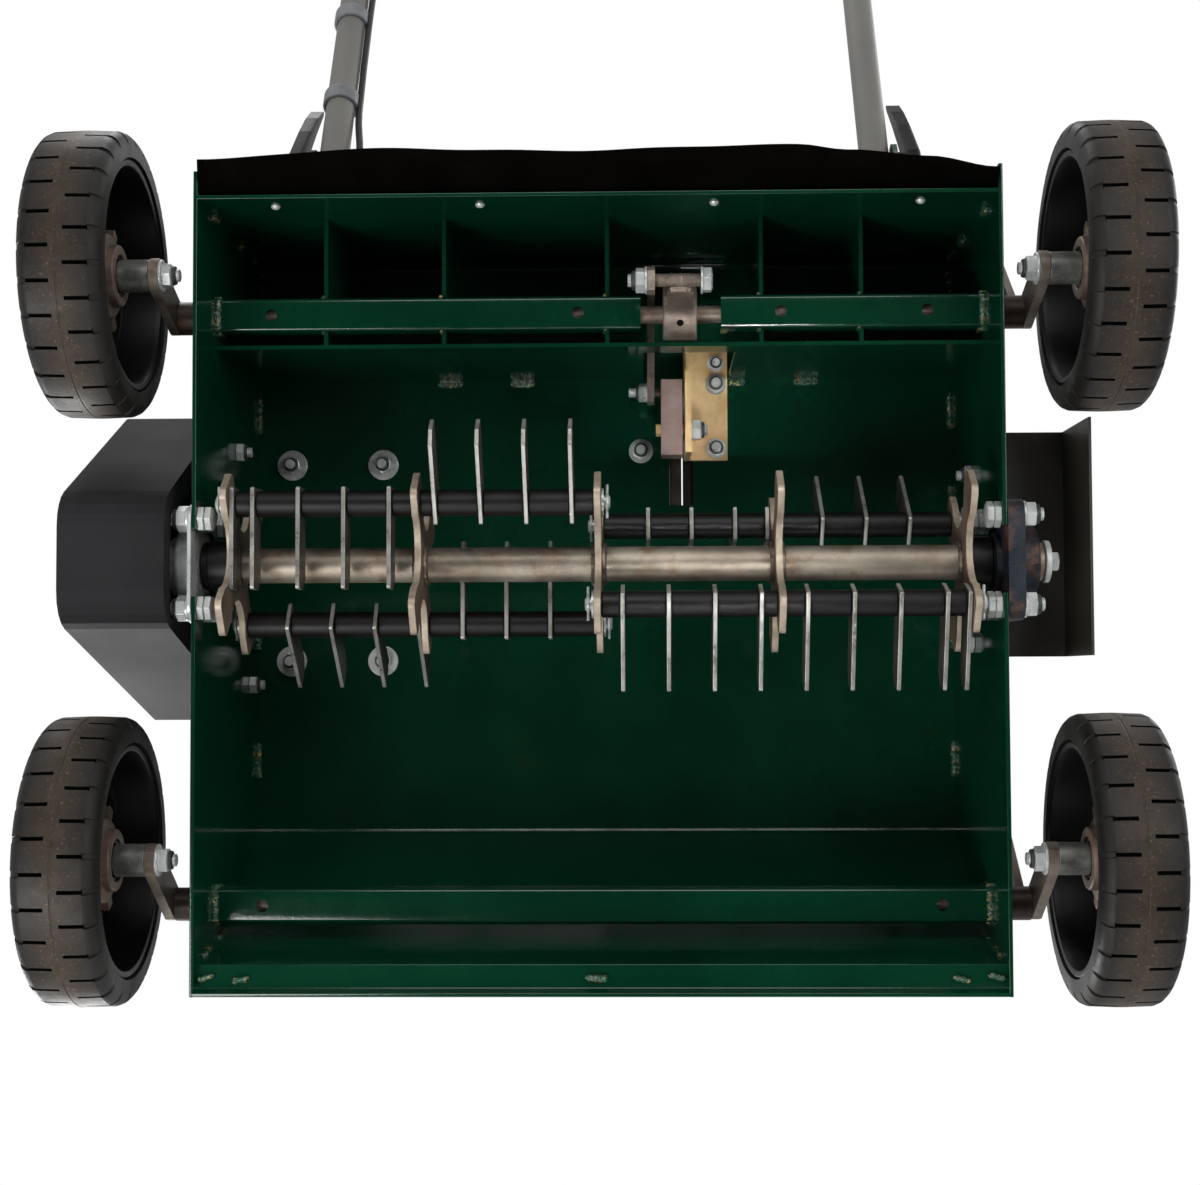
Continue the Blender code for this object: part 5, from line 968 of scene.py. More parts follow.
# Spacer tubes: turned steel, dull grey with a fine lathe grain.
turned_steel = finish("turned_spacer_steel", "5f605c", "8a8b86", (0.3, 0.42), metallic=0.6, patch=12.0,
                      grain=0.4, relief=0.06)
ARM_X = 0.316
ARM = 0.007
shell_end = ARM_X - HALF_WIDTH - 0.0002
shell = [(0.0032, 0.0068), (0.0032, 0.0115), (0.0042, 0.0124), (shell_end, 0.0124), (shell_end, 0.0068)]
spacer = [(0.0, 0.0106), (0.0, 0.0114), (0.0006, 0.0117), (0.0218, 0.0117), (0.0224, 0.0114),
          (0.0224, 0.0106)]
for end in ("rear", "front"):
    axle = spot("height_" + end)
    fittings = bmesh.new()
    for side, hand in ((1, "left"), (-1, "right")):
        hub = spot("spin_" + end + "_" + hand)
        lathe(fittings, shell, (side * HALF_WIDTH, axle.y, axle.z), (side, 0, 0), 40, 2, closed=True)
        lathe(fittings, spacer, (side * (ARM_X + ARM + 0.0002), hub.y, hub.z), (side, 0, 0), 40, 3,
              closed=True)
        nut(fittings, (side * (ARM_X - 0.0001), hub.y, hub.z), (-side, 0, 0), 0.0095, 0.002, flat=0.0115)
        nut(fittings, (side * (WHEEL_OUT - 0.0149), hub.y, hub.z), (side, 0, 0), 0.0105, 0.002, flat=0.0125)
    make(end + "_stub_nuts", fittings, fixings + [browned_bar, turned_steel], end + "_axle",
         bevel=0.0003)


def strap(start, end, half):
    """The outline of a flat bar with round ends, from pin to pin."""
    heading = math.degrees(math.atan2(end[1] - start[1], end[0] - start[0]))
    return (arc(*end, half, heading - 90, heading + 90, 12)
            + arc(*start, half, heading + 90, heading + 270, 12))


COLLAR_X = (-0.073, -0.048)
COLLAR = 0.0211
CRANK_X = (-0.3115, -0.3055)
REAR_AXLE = spot("height_rear")
rear_shaft = bmesh.new()
lathe(rear_shaft, [(-ARM_X - ARM, 0.0065), (ARM_X + ARM, 0.0065)], (0.0, REAR_AXLE.y, REAR_AXLE.z), steps=32)
stub = [(-0.008, 0.0065), (-0.007, 0.0075), (ARM, 0.0075), (ARM, 0.0106), (0.029, 0.0106), (0.029, 0.0075),
        (0.068, 0.0075), (0.069, 0.0065)]
for side, hand in ((1, "left"), (-1, "right")):
    hub = spot("spin_rear_" + hand)
    slab(rear_shaft, strap((REAR_AXLE.y, REAR_AXLE.z), (hub.y, hub.z), 0.0125), side * ARM_X,
         side * (ARM_X + ARM))
    lathe(rear_shaft, stub, (side * ARM_X, hub.y, hub.z), (side, 0, 0), 32)
tie_tip = (REAR_AXLE.y + 0.055, REAR_AXLE.z + 0.075)
slab(rear_shaft, strap((REAR_AXLE.y, REAR_AXLE.z), tie_tip, 0.0105), *CRANK_X)
pin_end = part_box("tie_rod")[1].x + 0.0028
lathe(rear_shaft, [(CRANK_X[0], 0.005), (pin_end - 0.0008, 0.005), (pin_end, 0.0042)], (0.0, *tie_tip),
      steps=28)
lathe(rear_shaft, [(COLLAR_X[0], COLLAR - 0.0008), (COLLAR_X[0] + 0.0008, COLLAR),
                   (COLLAR_X[1] - 0.0008, COLLAR), (COLLAR_X[1], COLLAR - 0.0008)],
      (0.0, REAR_AXLE.y, REAR_AXLE.z), steps=64)
TONGUE = spot("link_swing")
tongue_turn = math.degrees(math.atan2(TONGUE.z - REAR_AXLE.z, TONGUE.y - REAR_AXLE.y))
tongue_line = [(0.012, -0.0085), (0.0425, -0.0075), (0.0425, 0.0075), (0.012, 0.0085)]
slab(rear_shaft, rounded(turned(tongue_line, REAR_AXLE, tongue_turn), 0.002, 3), -0.07, -0.051)
make("rear_shaft_and_arms", rear_shaft, [axle_steel], "rear_axle", ["rear_axle"], bevel=0.0005)
tongue_welds = bmesh.new()
for bead in turned([(0.0432, -0.0052), (0.0432, 0.0052)], REAR_AXLE, tongue_turn):
    stitch(tongue_welds, (-0.0695, *bead), (-0.0515, *bead), 0.003)
make("tongue_welds", tongue_welds, [weld_steel], "rear_axle")

for end in ("rear", "front"):
    axle = spot("height_" + end)
    ring = arc(axle.y, axle.z, 0.007, 0, 352, 22)
    arm_welds = bmesh.new()
    for side in (1, -1):
        sweep(arm_welds, [(side * (ARM_X - 0.0004), *point) for point in ring + ring[:1]], 0.0017, 8, 0, 0.12)
    make(end + "_arm_welds", arm_welds, [weld_steel], end + "_axle")


# Height linkage: a collar with a long tongue on the rear shaft, a link, and a hand lever that turns in a
# bracket under the deck. The bracket is folded and yellow zinc plated, and the rest is bare brown steel.
# Yellow-passivated zinc: pale gold with pinker clouds.
yellow_zinc = finish("yellow_zinc_plate", "dcb27a", "f3d5a2", (0.34, 0.46), metallic=0.2, patch=22.0,
                     grain=0.5, relief=0.08)
dirty(yellow_zinc, "cf9f78", 20.0, 0.34, 0.1)
keep(yellow_zinc, "height_bracket", bevel=0.0006)
keep(axle_steel, "height_link", bevel=0.0006)
# Milled steel block, oxidised: a dull brown with a trace of violet.
block_steel = finish("milled_brown_block", "7d6760", "96807a", (0.42, 0.55), metallic=0.35, patch=24.0,
                     grain=0.5, relief=0.12)
LEVER_LEAN = 10.0
BLOCK_BOLT = (along(0.145), 0.26)
pivot = spot("lever_swing")
lever = bmesh.new()
slab(lever, rounded(oblong(along(0.0934), along(0.1542), 0.248, 0.274), 0.0012, 3), -0.064, -0.047, 1)
bar_half = [(0.012, 0.0125), (0.33, 0.0125), (0.352, 0.0085), (0.424, 0.0085)]
bar_line = [(a, -b) for a, b in bar_half] + bar_half[::-1]
slab(lever, rounded(turned(bar_line, pivot, 90.0 - LEVER_LEAN), 0.003, 3), -0.0639, -0.058)
lathe(lever, [(0.0, 0.0039), (0.0125, 0.0039), (0.0135, 0.003)], (-0.0472, *BLOCK_BOLT), (1, 0, 0), 24)
nut(lever, (-0.0362, *BLOCK_BOLT), (1, 0, 0), 0.0078, 0.006, 3, 2, flat=0.008, thick=0.0014)
make("lever_bar_and_block", lever, [browned_bar, block_steel] + fixings, "height_lever",
     ["height_lever"], bevel=0.0006)
BRACKET_X = -0.0925
BRACKET_BOLTS = ((0.105, M8, 0.0085), (0.158, M8, 0.0085), (0.175, 0.0065, 0.007))
SINGLE_BOLT = (-0.0308, 0.1039)
bracket_nuts = bmesh.new()
for y, thread, flat in BRACKET_BOLTS:
    nut(bracket_nuts, (BRACKET_X, along(y), ROOF_Z - 0.0055), (0, 0, -1), thread, flat=flat, thick=0.0015)
nut(bracket_nuts, (SINGLE_BOLT[0], along(SINGLE_BOLT[1]), ROOF_Z), (0, 0, -1), M8, 0.005, flat=0.01,
    thick=0.0018)
nut(bracket_nuts, (-0.0712, pivot.y, pivot.z), (-1, 0, 0), 0.009, 0.002, flat=0.009, thick=0.0015)
make("bracket_nuts", bracket_nuts, fixings, "machine", bevel=0.0003)
# Closing strips: two lips on top of the deck that narrow the lever's slot, and part where the lever swings. The
# black lip is painted shade: a black sheet for the shade beside the lever.
lips = bmesh.new()
for outer_x, slit_x, wide_x, look in ((-0.0535, -0.0641, -0.0574, 0), (-0.0746, -0.0652, -0.0646, 1)):
    lip_line = [(outer_x, along(0.0575)), (slit_x, along(0.0575)), (slit_x, along(0.0988)),
                (wide_x, along(0.102)), (wide_x, along(0.1515)), (outer_x, along(0.1515))]
    slab(lips, lip_line, TOP_FACE + 0.0002, TOP_FACE + 0.002, look, "Z")
make("slot_strips_with_painted_shade", lips, [browned_bar, polypropylene], "machine", bevel=0.0003)
tongue_nuts = bmesh.new()
washer(tongue_nuts, (-0.0752, TONGUE.y, TONGUE.z), (-1, 0, 0), 0.01, 0.0015)
hexagon(tongue_nuts, (-0.0767, TONGUE.y, TONGUE.z), (-1, 0, 0), HEAD, 0.007)
nut(tongue_nuts, (-0.036, TONGUE.y, TONGUE.z), (1, 0, 0), 0.0098, 0.001, flat=0.01, thick=0.0015)
# A thin black disc on the collar where its grub screw's hole is: painted shade standing for the dark hole.
hole_way = Vector((0.0, -0.454, -0.891))
hole_place = Vector((-0.0605, REAR_AXLE.y, REAR_AXLE.z)) + hole_way * (COLLAR - 0.0001)
lathe(tongue_nuts, [(0.0, 0.0026), (0.0004, 0.0026)], hole_place, hole_way, 24, 2)
thread = [(-0.076, 0.0)]
for number in range(27):
    start = -0.0758 + 0.0015 * number
    thread += [(start, 0.0044), (start + 0.00075, 0.005)]
lathe(tongue_nuts, thread + [(-0.035, 0.0044)], (0.0, TONGUE.y, TONGUE.z), steps=28, look=3)
make("tongue_bolt", tongue_nuts, fixings + [painted_shade_rubber, axle_steel], "rear_axle",
     bevel=0.0003)


def both_ways(half):
    """A whole profile from its half, which runs from one end to the middle."""
    return [(-distance, radius) for distance, radius in half] + half[-2::-1]


KNOB = 0.017
lever_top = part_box("height_lever")[1]
lever_knob = bmesh.new()
knob_half = [(0.0345, 0.013), (0.032, 0.0163), (0.028, 0.0172), (0.0, 0.0176)]
lathe(lever_knob, both_ways(knob_half), (-0.061, lever_top.y - KNOB, lever_top.z - KNOB), steps=40)
make("lever_knob", lever_knob, [polypropylene], "height_lever", bevel=0.0008)


# Handle: one bent 25 mm steel tube that folds about two bolts in welded ears, with cam levers outside.
# Steel tube, silver powder coated: an even satin grey, its orange peel drawn coarse enough to show.
tube_silver = finish("silver_grey_tube", "64635f", "706f6a", (0.48, 0.58), metallic=0.1, patch=140.0,
                     grain=4.0, relief=0.02)
fold = spot("handle_fold")
HANDLE_X = 0.228
HANDLE = 0.0125
slope = math.tan(math.radians(32.9))
foot = (along(0.322), fold.z - (0.345 - 0.322) * slope)
knee = (along(0.56), fold.z + (0.56 - 0.345) * slope)
top = (along(1.1), 0.99)
half_route = [(HANDLE_X, *foot), (HANDLE_X, *knee), (HANDLE_X, *top)]
handle_route = half_route + [(-x, y, z) for x, y, z in reversed(half_route)]
bar = bmesh.new()
sweep(bar, rounded(handle_route, 0.07, 14, closed=False), HANDLE, 28)
make("handle_tube", bar, [tube_silver], "handle", ["handlebar"], bevel=0.001)
keep(powder_coat, "handle_ear_left", "handle_ear_right", bevel=0.0006)
CAM_X = HANDLE_X + HANDLE + 0.0049
CAM_SLOPE = 39.0
CAM_LEAN = 0.11
CAM_LEVELS = ((0.0095, 0.9), (0.0115, 1.0), (0.0185, 1.0), (0.0205, 0.86))
cam_line = [(-0.011, 0.0), (-0.007, -0.0095), (0.006, -0.0118), (0.02, -0.0108), (0.045, -0.009),
            (0.07, -0.005), (0.088, 0.001), (0.09, 0.0042), (0.085, 0.0056), (0.062, 0.0052), (0.038, 0.0062),
            (0.018, 0.0088), (0.002, 0.0112), (-0.0085, 0.0075)]
drum = [(0.0003, 0.0046), (0.0003, 0.01), (0.0013, 0.011), (0.0127, 0.011), (0.0137, 0.01), (0.0137, 0.0046)]
for side, hand in ((1, "left"), (-1, "right")):
    cam = bmesh.new()
    lathe(cam, drum, (side * CAM_X, fold.y, fold.z), (side, 0, 0), 36, closed=True)
    rings = [[cam.verts.new((side * (CAM_X + level - CAM_LEAN * max(a, 0.0)),
                             *turned([(a, b * inset)], fold, CAM_SLOPE)[0]))
              for a, b in rounded(cam_line, 0.0012, 2)] for level, inset in CAM_LEVELS]
    skin(cam, rings, ends=0)
    make("cam_lever_" + hand, cam, [polypropylene], "clamp_lever_" + hand,
         ["clamp_lever_" + hand], bevel=0.0006)
for side, hand in ((1, "left"), (-1, "right")):
    bolts = bmesh.new()
    nut(bolts, (side * (HANDLE_X - HANDLE - 0.0005), fold.y, fold.z), (-side, 0, 0), M8, 0.002, flat=0.0085,
        thick=0.0016)
    make("fold_nut_" + hand, bolts, fixings, "machine", bevel=0.0003)

# Grip, bail and throttle: a foamed rubber sleeve, a bent zinc wire that the hand holds down, and a moulded
# thumb lever whose cable is clipped to the tube.
# Foamed rubber: charcoal, matt and coarse, so that it takes no highlight.
foam = finish("foamed_grip_rubber", "171615", "262422", (0.7, 0.9), patch=10.0, grain=1.0, relief=0.45)
GRIP = 0.016
grip_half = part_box("handle_grip")[1].x
grip = bmesh.new()
ribs = [(-grip_half, HANDLE + 0.0003), (-grip_half, GRIP - 0.002), (-grip_half + 0.003, GRIP)]
RIBS = 34
for number in range(RIBS):
    start = -grip_half + 0.01 + (2 * grip_half - 0.02) * number / RIBS
    ribs += [(start, GRIP), (start + 0.001, GRIP - 0.0008), (start + 0.0026, GRIP - 0.0008),
             (start + 0.0036, GRIP)]
ribs += [(grip_half - 0.003, GRIP), (grip_half, GRIP - 0.002), (grip_half, HANDLE + 0.0003)]
lathe(grip, ribs, (0.0, *top), steps=40, closed=True)
make("grip_sleeve", grip, [foam], "handle", ["handle_grip"])
bail_foot = spot("bail_squeeze")
low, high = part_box("safety_bail")
bail_tip = Vector((high.y - 0.004, high.z - 0.004))
bail_route = [(0.2148, bail_foot.y, bail_foot.z), (0.2, bail_foot.y, bail_foot.z), (0.2, *bail_tip)]
bail_route += [(-x, y, z) for x, y, z in reversed(bail_route)]
bail = bmesh.new()
sweep(bail, rounded(bail_route, 0.009, 8, closed=False), 0.004, 20)
make("bail_wire", bail, [zinc], "safety_bail", ["safety_bail"], bevel=0.0006)
keep(polypropylene, "throttle_housing", "throttle_lever", bevel=0.001)
# Vinyl sheath, extruded: black with a soft gloss.
cable_vinyl = finish("black_vinyl_cable", "0e0e0e", "1b1b1b", (0.35, 0.5), patch=15.0, grain=0.6, relief=0.1)
keep(cable_vinyl, "throttle_cable_upper", "throttle_cable_lower")
# Cable clips: moulded grey bands that snap round the tube and hold the cable against it.
clip_plastic = finish("grey_moulded_clip", "5c5f62", "74777b", (0.4, 0.55), patch=12.0, grain=0.5, relief=0.1)
tube_way = Vector((0.0, knee[0] - foot[0], knee[1] - foot[1])).normalized()
band = [(-0.0075, HANDLE + 0.0003), (-0.0075, HANDLE + 0.0022), (-0.0065, HANDLE + 0.003),
        (0.0065, HANDLE + 0.003), (0.0075, HANDLE + 0.0022), (0.0075, HANDLE + 0.0003)]
cable_clips = bmesh.new()
for distance in (0.114, 0.224):
    lathe(cable_clips, band, Vector((HANDLE_X, *foot)) + tube_way * distance, tube_way, 36, closed=True)
make("cable_clips", cable_clips, [clip_plastic], "handle", bevel=0.0004)


# Engine: a small single-cylinder petrol engine on the belt side of the top plate, with a leaning finned
# cylinder, a pressed fan housing, a recoil starter, a steel tank, a shielded muffler and an air cleaner.
# Stoving enamel, sprayed and baked: a deep red under a clear gloss that mirrors the lamps.
red_enamel = finish("red_stoving_enamel", "8c1712", "a8221b", (0.14, 0.22), patch=80.0, grain=1.5,
                    relief=0.03, coat=0.6)
# Pressed steel, browned by heat: dark, with blotches that run from dull to bright.
heat_steel = finish("heat_browned_steel", "4a4038", "7d7268", (0.35, 0.5), metallic=0.85, patch=20.0,
                    grain=0.6, relief=0.2)


def loft(bm, low, high, corner, levels, gaps=(), fill=10):
    """Skins a rectangle with rounded corners through levels, each with a height and an inset from its sides.

    The bands named as gaps keep one face in four of their straight sides, which leaves slots.
    """
    rings = []
    for level, inset in levels:
        x0, y0, x1, y1 = low[0] + inset, low[1] + inset, high[0] - inset, high[1] - inset
        bend = max(corner - inset, 0.0015)
        centres = [(x1 - bend, y0 + bend), (x1 - bend, y1 - bend), (x0 + bend, y1 - bend),
                   (x0 + bend, y0 + bend)]
        arcs = [arc(*centre, bend, 90 * n - 90, 90 * n, 5) for n, centre in enumerate(centres)]
        path = []
        for points, after in zip(arcs, arcs[1:] + arcs[:1]):
            first, last = Vector(points[-1]), Vector(after[0])
            path += [*points, *(first.lerp(last, n / fill) for n in range(1, fill))]
        rings.append([bm.verts.new((*point, level)) for point in path])
    side = len(rings[0]) // 4
    skin(bm, rings, ends=0, skip=lambda band, n: band in gaps and n % side >= 6 and n % 4)


CRANK = spot("crank_spin")
FACE_X = 0.292
CASE_X = 0.15
CASE_LOW = TOP_FACE + 0.0003
FOOT = 0.018
CASE_TOP = CASE_LOW + 0.16
CASE_BOLTS = [(0.0, 0.048)] + [(y, z) for y in (0.066, -0.066) for z in (-0.07, -0.01, 0.046)]
crankcase = bmesh.new()
loft(crankcase, (0.1548, CRANK.y - 0.095), (0.2848, CRANK.y + 0.095), 0.014, [
    (CASE_LOW, 0.0008), (CASE_LOW + 0.0015, 0.0), (CASE_LOW + FOOT - 0.004, 0.0), (CASE_LOW + FOOT, 0.003)])
loft(crankcase, (CASE_X, CRANK.y - 0.078), (FACE_X - 0.006, CRANK.y + 0.078), 0.016, [
    (CASE_LOW + FOOT - 0.006, 0.004), (CASE_LOW + FOOT + 0.004, 0.0), (CASE_TOP - 0.052, 0.0),
    (CASE_TOP - 0.05, -0.003), (CASE_TOP - 0.044, -0.003), (CASE_TOP - 0.042, 0.0), (CASE_TOP - 0.012, 0.0),
    (CASE_TOP - 0.003, 0.004), (CASE_TOP, 0.014)])
hub_line = [(-0.01, 0.052), (0.0, 0.05), (0.0015, 0.04), (0.0055, 0.0335), (0.006, 0.032), (0.006, 0.018),
            (0.0045, 0.0165), (0.0045, 0.011), (-0.004, 0.011)]
lathe(crankcase, hub_line, (FACE_X - 0.006, CRANK.y, CRANK.z), (1, 0, 0), 56)
for y in (-0.048, -0.024, 0.024, 0.048):
    rib = oblong(CRANK.y + y - 0.0015, CRANK.y + y + 0.0015, CASE_LOW + 0.01, CRANK.z - 0.04)
    slab(crankcase, rib, FACE_X - 0.008, FACE_X - 0.0025)
case_bolts = bmesh.new()
for y, z in CASE_BOLTS:
    lathe(crankcase, [(0.0, 0.0085), (0.0035, 0.0075)], (FACE_X - 0.0062, CRANK.y + y, CRANK.z + z),
          (1, 0, 0), 24)
    hexagon(case_bolts, (FACE_X - 0.0026, CRANK.y + y, CRANK.z + z), (1, 0, 0), 0.0095, 0.003)
make("crankcase", crankcase, [cast_alloy], "machine", ["engine_block"], bevel=0.0012)
for x in (ENGINE_BOLT_X, -ENGINE_BOLT_X):
    for y in (0.0868, -0.0868):
        bolt(case_bolts, (ENGINE_MIDDLE[0] + x, CRANK.y + y, CASE_LOW + FOOT), (0, 0, 1), M8)
lathe(case_bolts, [(0.0, 0.0105), (0.006, 0.0105), (0.007, 0.0095)],
      (0.262, CRANK.y - 0.0782, CASE_LOW + 0.045), (0, -1, 0), 20, 1)
slab(case_bolts, oblong(0.253, 0.271, CRANK.y - 0.098, CRANK.y - 0.085), CASE_LOW + 0.0435, CASE_LOW + 0.0465,
     1, "Z")
make("case_bolts", case_bolts, [zinc, polypropylene], "machine", bevel=0.0004)

# Throttle bracket: a folded zinc strip on the back of the crankcase, with a clamp on the cable's end. The bare
# wire goes on from there to the small arm that opens the throttle.
CABLE_END = Vector((0.1635, along(0.11), TOP_FACE + 0.145))
cable_way = Vector((0.015, -0.04, 0.02)).normalized()
case_back = CRANK.y + 0.078
throttle_stay = bmesh.new()
slab(throttle_stay, oblong(0.156, 0.19, case_back - 0.001, case_back + 0.026), CABLE_END.z - 0.0086,
     CABLE_END.z - 0.007, 0, "Z")
slab(throttle_stay, oblong(case_back - 0.0005, case_back + 0.0015, CABLE_END.z - 0.026, CABLE_END.z - 0.007),
     0.168, 0.19)
bolt(throttle_stay, (0.179, case_back + 0.0015, CABLE_END.z - 0.018), (0, 1, 0), 0.006)
clamp = [(-0.0045, 0.0031), (-0.0045, 0.0048), (0.0045, 0.0048), (0.0045, 0.0031)]
lathe(throttle_stay, clamp, CABLE_END - cable_way * 0.0065, cable_way, 28, closed=True)
arm_tip = Vector((0.169, case_back + 0.006, CABLE_END.z + 0.0045))
sweep(throttle_stay, [CABLE_END - cable_way * 0.002, CABLE_END + cable_way * 0.006, arm_tip], 0.0009, 10)
slab(throttle_stay, [(0.1655, case_back + 0.003), (0.186, case_back + 0.003), (0.186, case_back + 0.01),
                     (0.1655, case_back + 0.009)], arm_tip.z - 0.0014, arm_tip.z, 0, "Z")
lathe(throttle_stay, [(0.0, 0.004), (0.0115, 0.004), (0.0125, 0.003)],
      (0.182, case_back - 0.0005, arm_tip.z - 0.004), (0, 1, 0), 24)
make("throttle_stay", throttle_stay, [zinc], "machine", bevel=0.0003)

# Cylinder: one casting with nine cooling fins, a bolted head and a spark plug with its rubber cap.
CYLINDER_X = 0.221
cylinder_turn = (Matrix.Translation((CYLINDER_X, CRANK.y, CRANK.z))
                 @ Matrix.Rotation(math.radians(25.0), 4, "X"))
cylinder = bmesh.new()
loft(cylinder, (-0.04, -0.04), (0.04, 0.04), 0.02, [(0.04, 0.0), (0.139, 0.0)])
for number in range(9):
    z = 0.0465 + 0.0094 * number
    reach = 0.052 if number > 1 else 0.046
    loft(cylinder, (-reach, -reach), (reach, reach), 0.012, [
        (z, 0.0006), (z + 0.0006, 0.0), (z + 0.0022, 0.0), (z + 0.0028, 0.0006)])
loft(cylinder, (-0.05, -0.05), (0.05, 0.05), 0.012, [(0.1285, 0.0), (0.137, 0.0), (0.14, 0.003)])
bmesh.ops.transform(cylinder, matrix=cylinder_turn, verts=cylinder.verts)
make("finned_cylinder", cylinder, [cast_alloy], "machine", bevel=0.0005)
ignition = bmesh.new()
plug_base = cylinder_turn @ Vector((-0.03, -0.05, 0.132))
plug_way = (cylinder_turn.to_3x3() @ Vector((-0.25, -0.9, 0.15))).normalized()
lathe(ignition, [(0.0, 0.01), (0.006, 0.01), (0.008, 0.0065), (0.014, 0.0062)], plug_base, plug_way, 6, 1)
lathe(ignition, [(0.01, 0.0085), (0.012, 0.0095), (0.026, 0.009), (0.032, 0.007), (0.036, 0.0)],
      plug_base, plug_way, 28)
lead_start = plug_base + plug_way * 0.031
lead = [lead_start] + [Vector((x, CRANK.y + y, CRANK.z + z)) for x, y, z in (
    (0.176, -0.152, 0.076), (0.168, -0.14, 0.052), (0.157, -0.104, 0.046), (0.147, -0.088, 0.045))]
sweep(ignition, rounded(lead, 0.009, 8, closed=False), 0.0034, 14)
make("spark_plug_cap_and_lead", ignition, [sheet_rubber, zinc], "machine", bevel=0.0004)

# Fan housing and recoil starter: black mouldings on a pressed back plate; the air comes in through the slots.
# Moulded nylon, glass filled: black with a faint grain, a little grey where the light grazes it.
housing_plastic = finish("glass_filled_nylon", "141414", "1f1f1f", (0.42, 0.55), patch=60.0, grain=0.9,
                         relief=0.14)
fan_low, fan_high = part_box("fan_housing")
fan = bmesh.new()
deep = fan_high.x - fan_low.x
fan_line = [(0.0, 0.088), (0.002, 0.09), (0.026, 0.09), (0.03, 0.0985), (0.034, 0.1045), (0.04, 0.105),
            (0.06, 0.105), (0.062, 0.1035), (0.066, 0.1035), (0.068, 0.105), (deep - 0.022, 0.105),
            (deep - 0.01, 0.1015), (deep - 0.003, 0.0945), (deep, 0.088)]
lathe(fan, fan_line, (fan_high.x, CRANK.y, CRANK.z), (-1, 0, 0), 72)
for turn in (35, 125, 215, 305):
    lathe(fan, [(0.0, 0.0075), (0.034, 0.0065), (0.036, 0.005)],
          (fan_high.x - 0.004, *turned([(0.0955, 0.0)], CRANK, turn)[0]), (-1, 0, 0), 20)
make("blower_housing", fan, [housing_plastic], "machine", ["fan_housing"], bevel=0.001)
cover_seat = (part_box("recoil_cover")[1].x, CRANK.y, CRANK.z)
shell = bmesh.new()
shell_line = [(-0.0195, 0.0), (-0.0195, 0.027), (-0.0228, 0.03), (-0.0228, 0.036), (-0.0228, 0.05),
              (-0.0228, 0.064), (-0.0225, 0.078), (-0.0195, 0.0815), (-0.005, 0.0835), (-0.004, 0.085),
              (0.0, 0.085)]
skin(shell, turning(shell, shell_line, cover_seat, steps=72),
     skip=lambda band, n: (band in (2, 3, 4) and n % 4) or (band == 6 and n % 6 in (1, 2, 3)))
make("recoil_shell", shell, [housing_plastic], "machine", ["recoil_cover"], gauge=0.0014)
screen = bmesh.new()
lathe(screen, [(0.0, 0.078), (0.01, 0.077), (0.0115, 0.07), (0.0115, 0.03), (0.016, 0.027)], cover_seat,
      (-1, 0, 0), 56)
for number in range(24):
    bar = turned(oblong(0.031, 0.074, -0.0008, 0.0008), CRANK, 15 * number)
    slab(screen, bar, cover_seat[0] - 0.0165, cover_seat[0] - 0.0105)
make("fan_screen", screen, [cast_alloy], "machine", bevel=0.0003)
recoil_bolts = bmesh.new()
for turn in (10, 100, 190, 280):
    hexagon(recoil_bolts, (fan_low.x, *turned([(0.0915, 0.0)], CRANK, turn)[0]), (-1, 0, 0), 0.0085, 0.004)
make("recoil_bolts", recoil_bolts, [zinc], "machine", bevel=0.0004)
grip_low, grip_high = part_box("starter_grip")
rope_x, rope_y, rope_z = (grip_low.x + grip_high.x) / 2, CRANK.y + 0.0856, (grip_low.z + grip_high.z) / 2
pull = bmesh.new()
grip_half = [(0.03, 0.005), (0.028, 0.0078), (0.024, 0.0088), (0.012, 0.008), (0.0, 0.0092)]
lathe(pull, both_ways(grip_half), (rope_x, rope_y + 0.02, rope_z), (0, 0, 1), 32)
stem = [(0.0, 0.007), (0.002, 0.0085), (0.012, 0.0095), (0.02, 0.0085)]
lathe(pull, stem, (rope_x, rope_y + 0.0006, rope_z), (0, 1, 0), 28)
cord = [Vector((rope_x, rope_y - 0.15 + 0.155 * n / 60, rope_z)) for n in range(61)]
sweep(pull, cord, 0.002, 12, 1)
make("starter_pull_and_rope", pull, [housing_plastic, sheet_rubber], "starter_grip",
     ["starter_grip"], bevel=0.0008)

# Fuel tank: two pressed steel halves with a rolled seam, stoved red, with a ribbed black cap.
tank_low = Vector((-0.017, CRANK.y - 0.115, CRANK.z + 0.1053))
tank_high = Vector((0.149, CRANK.y + 0.115, CRANK.z + 0.2053))
seam = (tank_low.z + tank_high.z) / 2 - 0.008
tank = bmesh.new()
loft(tank, tank_low, tank_high, 0.034, [
    (tank_low.z, 0.024), (tank_low.z + 0.002, 0.013), (tank_low.z + 0.009, 0.0045),
    (tank_low.z + 0.02, 0.0026), (seam - 0.0035, 0.0026), (seam - 0.003, 0.0), (seam + 0.003, 0.0),
    (seam + 0.0035, 0.0026), (tank_high.z - 0.024, 0.003), (tank_high.z - 0.012, 0.0065),
    (tank_high.z - 0.004, 0.015), (tank_high.z - 0.001, 0.026), (tank_high.z, 0.04)])
cap_place = Vector(((tank_low.x + tank_high.x) / 2, CRANK.y, tank_high.z))
lathe(tank, [(-0.002, 0.03), (0.001, 0.027), (0.004, 0.0255)], cap_place, (0, 0, 1), 48)
make("red_tank", tank, [red_enamel], "machine", ["fuel_tank"], bevel=0.0)
CAP_STEPS = 96
cap = bmesh.new()
rings = []
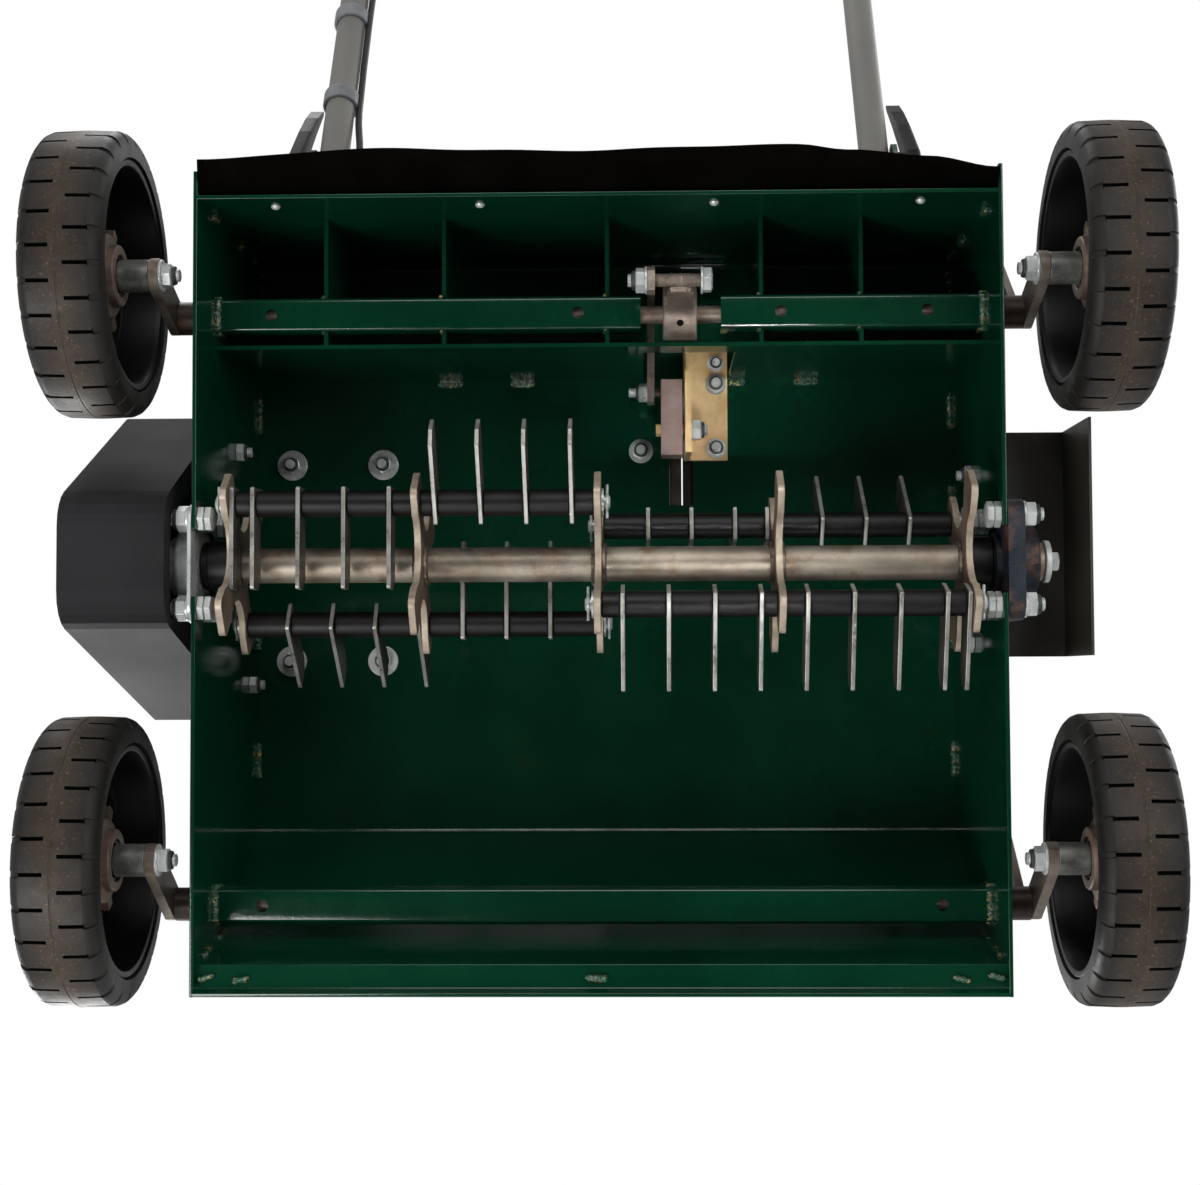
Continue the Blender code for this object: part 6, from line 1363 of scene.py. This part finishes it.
for z, radius, depth in ((0.0035, 0.0262, 0.0), (0.0045, 0.0272, 0.0012), (0.017, 0.0272, 0.0012),
                         (0.02, 0.0255, 0.0006), (0.0215, 0.0225, 0.0), (0.0205, 0.02, 0.0),
                         (0.0205, 0.008, 0.0), (0.022, 0.007, 0.0)):
    rings.append([])
    for n in range(CAP_STEPS):
        angle = 2 * math.pi * n / CAP_STEPS
        reach = radius - (depth if n % 4 < 2 else 0.0)
        spoke = Vector((reach * math.cos(angle), reach * math.sin(angle), z))
        rings[-1].append(cap.verts.new(cap_place + spoke))
skin(cap, rings, ends=0)
make("ribbed_cap", cap, [housing_plastic], "machine", bevel=0.0)

# Muffler: a pressed steel box on its port, under a heat shield with rows of slots.
# Heat shield, aluminised sheet: paler and cleaner than the muffler behind it.
shield_sheet = finish("aluminised_shield", "76736e", "9c9993", (0.34, 0.46), metallic=0.7, patch=40.0,
                      grain=0.5, relief=0.06)
muffler_low, muffler_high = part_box("muffler")
body_low = muffler_high.z - 0.085
muffler = bmesh.new()
loft(muffler, muffler_low, muffler_high, 0.022, [(body_low + z, inset) for z, inset in (
    (0.0, 0.016), (0.003, 0.009), (0.01, 0.006), (0.038, 0.0055), (0.039, 0.003), (0.042, 0.003),
    (0.043, 0.0055), (0.07, 0.007), (0.076, 0.012), (0.078, 0.022))])
port_place = (CYLINDER_X, (muffler_low.y + muffler_high.y) / 2, body_low + 0.001)
lathe(muffler, [(0.0, 0.0155), (0.006, 0.0155)], port_place, (0, 0, -1), 28)
pipe = [(0.0, 0.0088), (0.0, 0.0105), (0.02, 0.0105), (0.02, 0.0088)]
lathe(muffler, pipe, (muffler_low.x + 0.03, muffler_low.y + 0.0065, body_low + 0.02), (0, -1, 0), 28,
      closed=True)
make("muffler_box", muffler, [heat_steel], "machine", ["muffler"], bevel=0.0006)
shield = bmesh.new()
loft(shield, muffler_low, muffler_high, 0.024, [(body_low + z, inset) for z, inset in (
    (0.03, 0.0008), (0.036, 0.0008), (0.048, 0.001), (0.052, 0.001), (0.064, 0.0014), (0.074, 0.004),
    (0.081, 0.01), (0.0836, 0.019), (0.0838, 0.03), (0.0838, 0.04))], gaps=(1, 3, 7))
make("slotted_heat_shield", shield, [shield_sheet], "machine", gauge=0.001)

# Air cleaner: a moulded box with a stepped lid, intake louvres and a knurled knob, on its intake elbow.
cleaner_low, cleaner_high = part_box("air_cleaner")
cleaner = bmesh.new()
lid = cleaner_high.z - 0.05
loft(cleaner, cleaner_low, cleaner_high, 0.02, [
    (cleaner_low.z, 0.014), (cleaner_low.z + 0.004, 0.008), (cleaner_low.z + 0.012, 0.005),
    (lid - 0.004, 0.0035), (lid - 0.0035, 0.0052), (lid - 0.001, 0.0052), (lid - 0.0005, 0.0),
    (lid + 0.036, 0.0022), (lid + 0.045, 0.007), (lid + 0.049, 0.016), (cleaner_high.z, 0.026)])
for number in range(6):
    z = cleaner_low.z + 0.022 + 0.0065 * number
    loft(cleaner, (cleaner_low.x + 0.018, cleaner_high.y - 0.006),
         (cleaner_high.x - 0.018, cleaner_high.y - 0.0006), 0.0015, [(z, 0.0), (z + 0.0028, 0.0004)], fill=2)
knob = [(0.0, 0.012), (0.0015, 0.013), (0.008, 0.0125), (0.0095, 0.01)]
middle = (cleaner_low + cleaner_high) / 2
lathe(cleaner, knob, (middle.x, middle.y, cleaner_high.z - 0.001), (0, 0, 1), 12)
make("air_cleaner_box", cleaner, [housing_plastic], "machine", ["air_cleaner"], bevel=0.0008)

# Deck top: the hexagon heads of the bracket's bolts and of the single bolt beside the lever.
top_bolts = bmesh.new()
for x, y, thread in [(BRACKET_X, y, thread) for y, thread, flat in BRACKET_BOLTS] + [(*SINGLE_BOLT, M8)]:
    bolt(top_bolts, (x, along(y), TOP_FACE), (0, 0, 1), thread, flat=thread * 1.1)
make("deck_top_bolts", top_bolts, [zinc], "machine", bevel=0.0003)

bpy.context.view_layer.update()
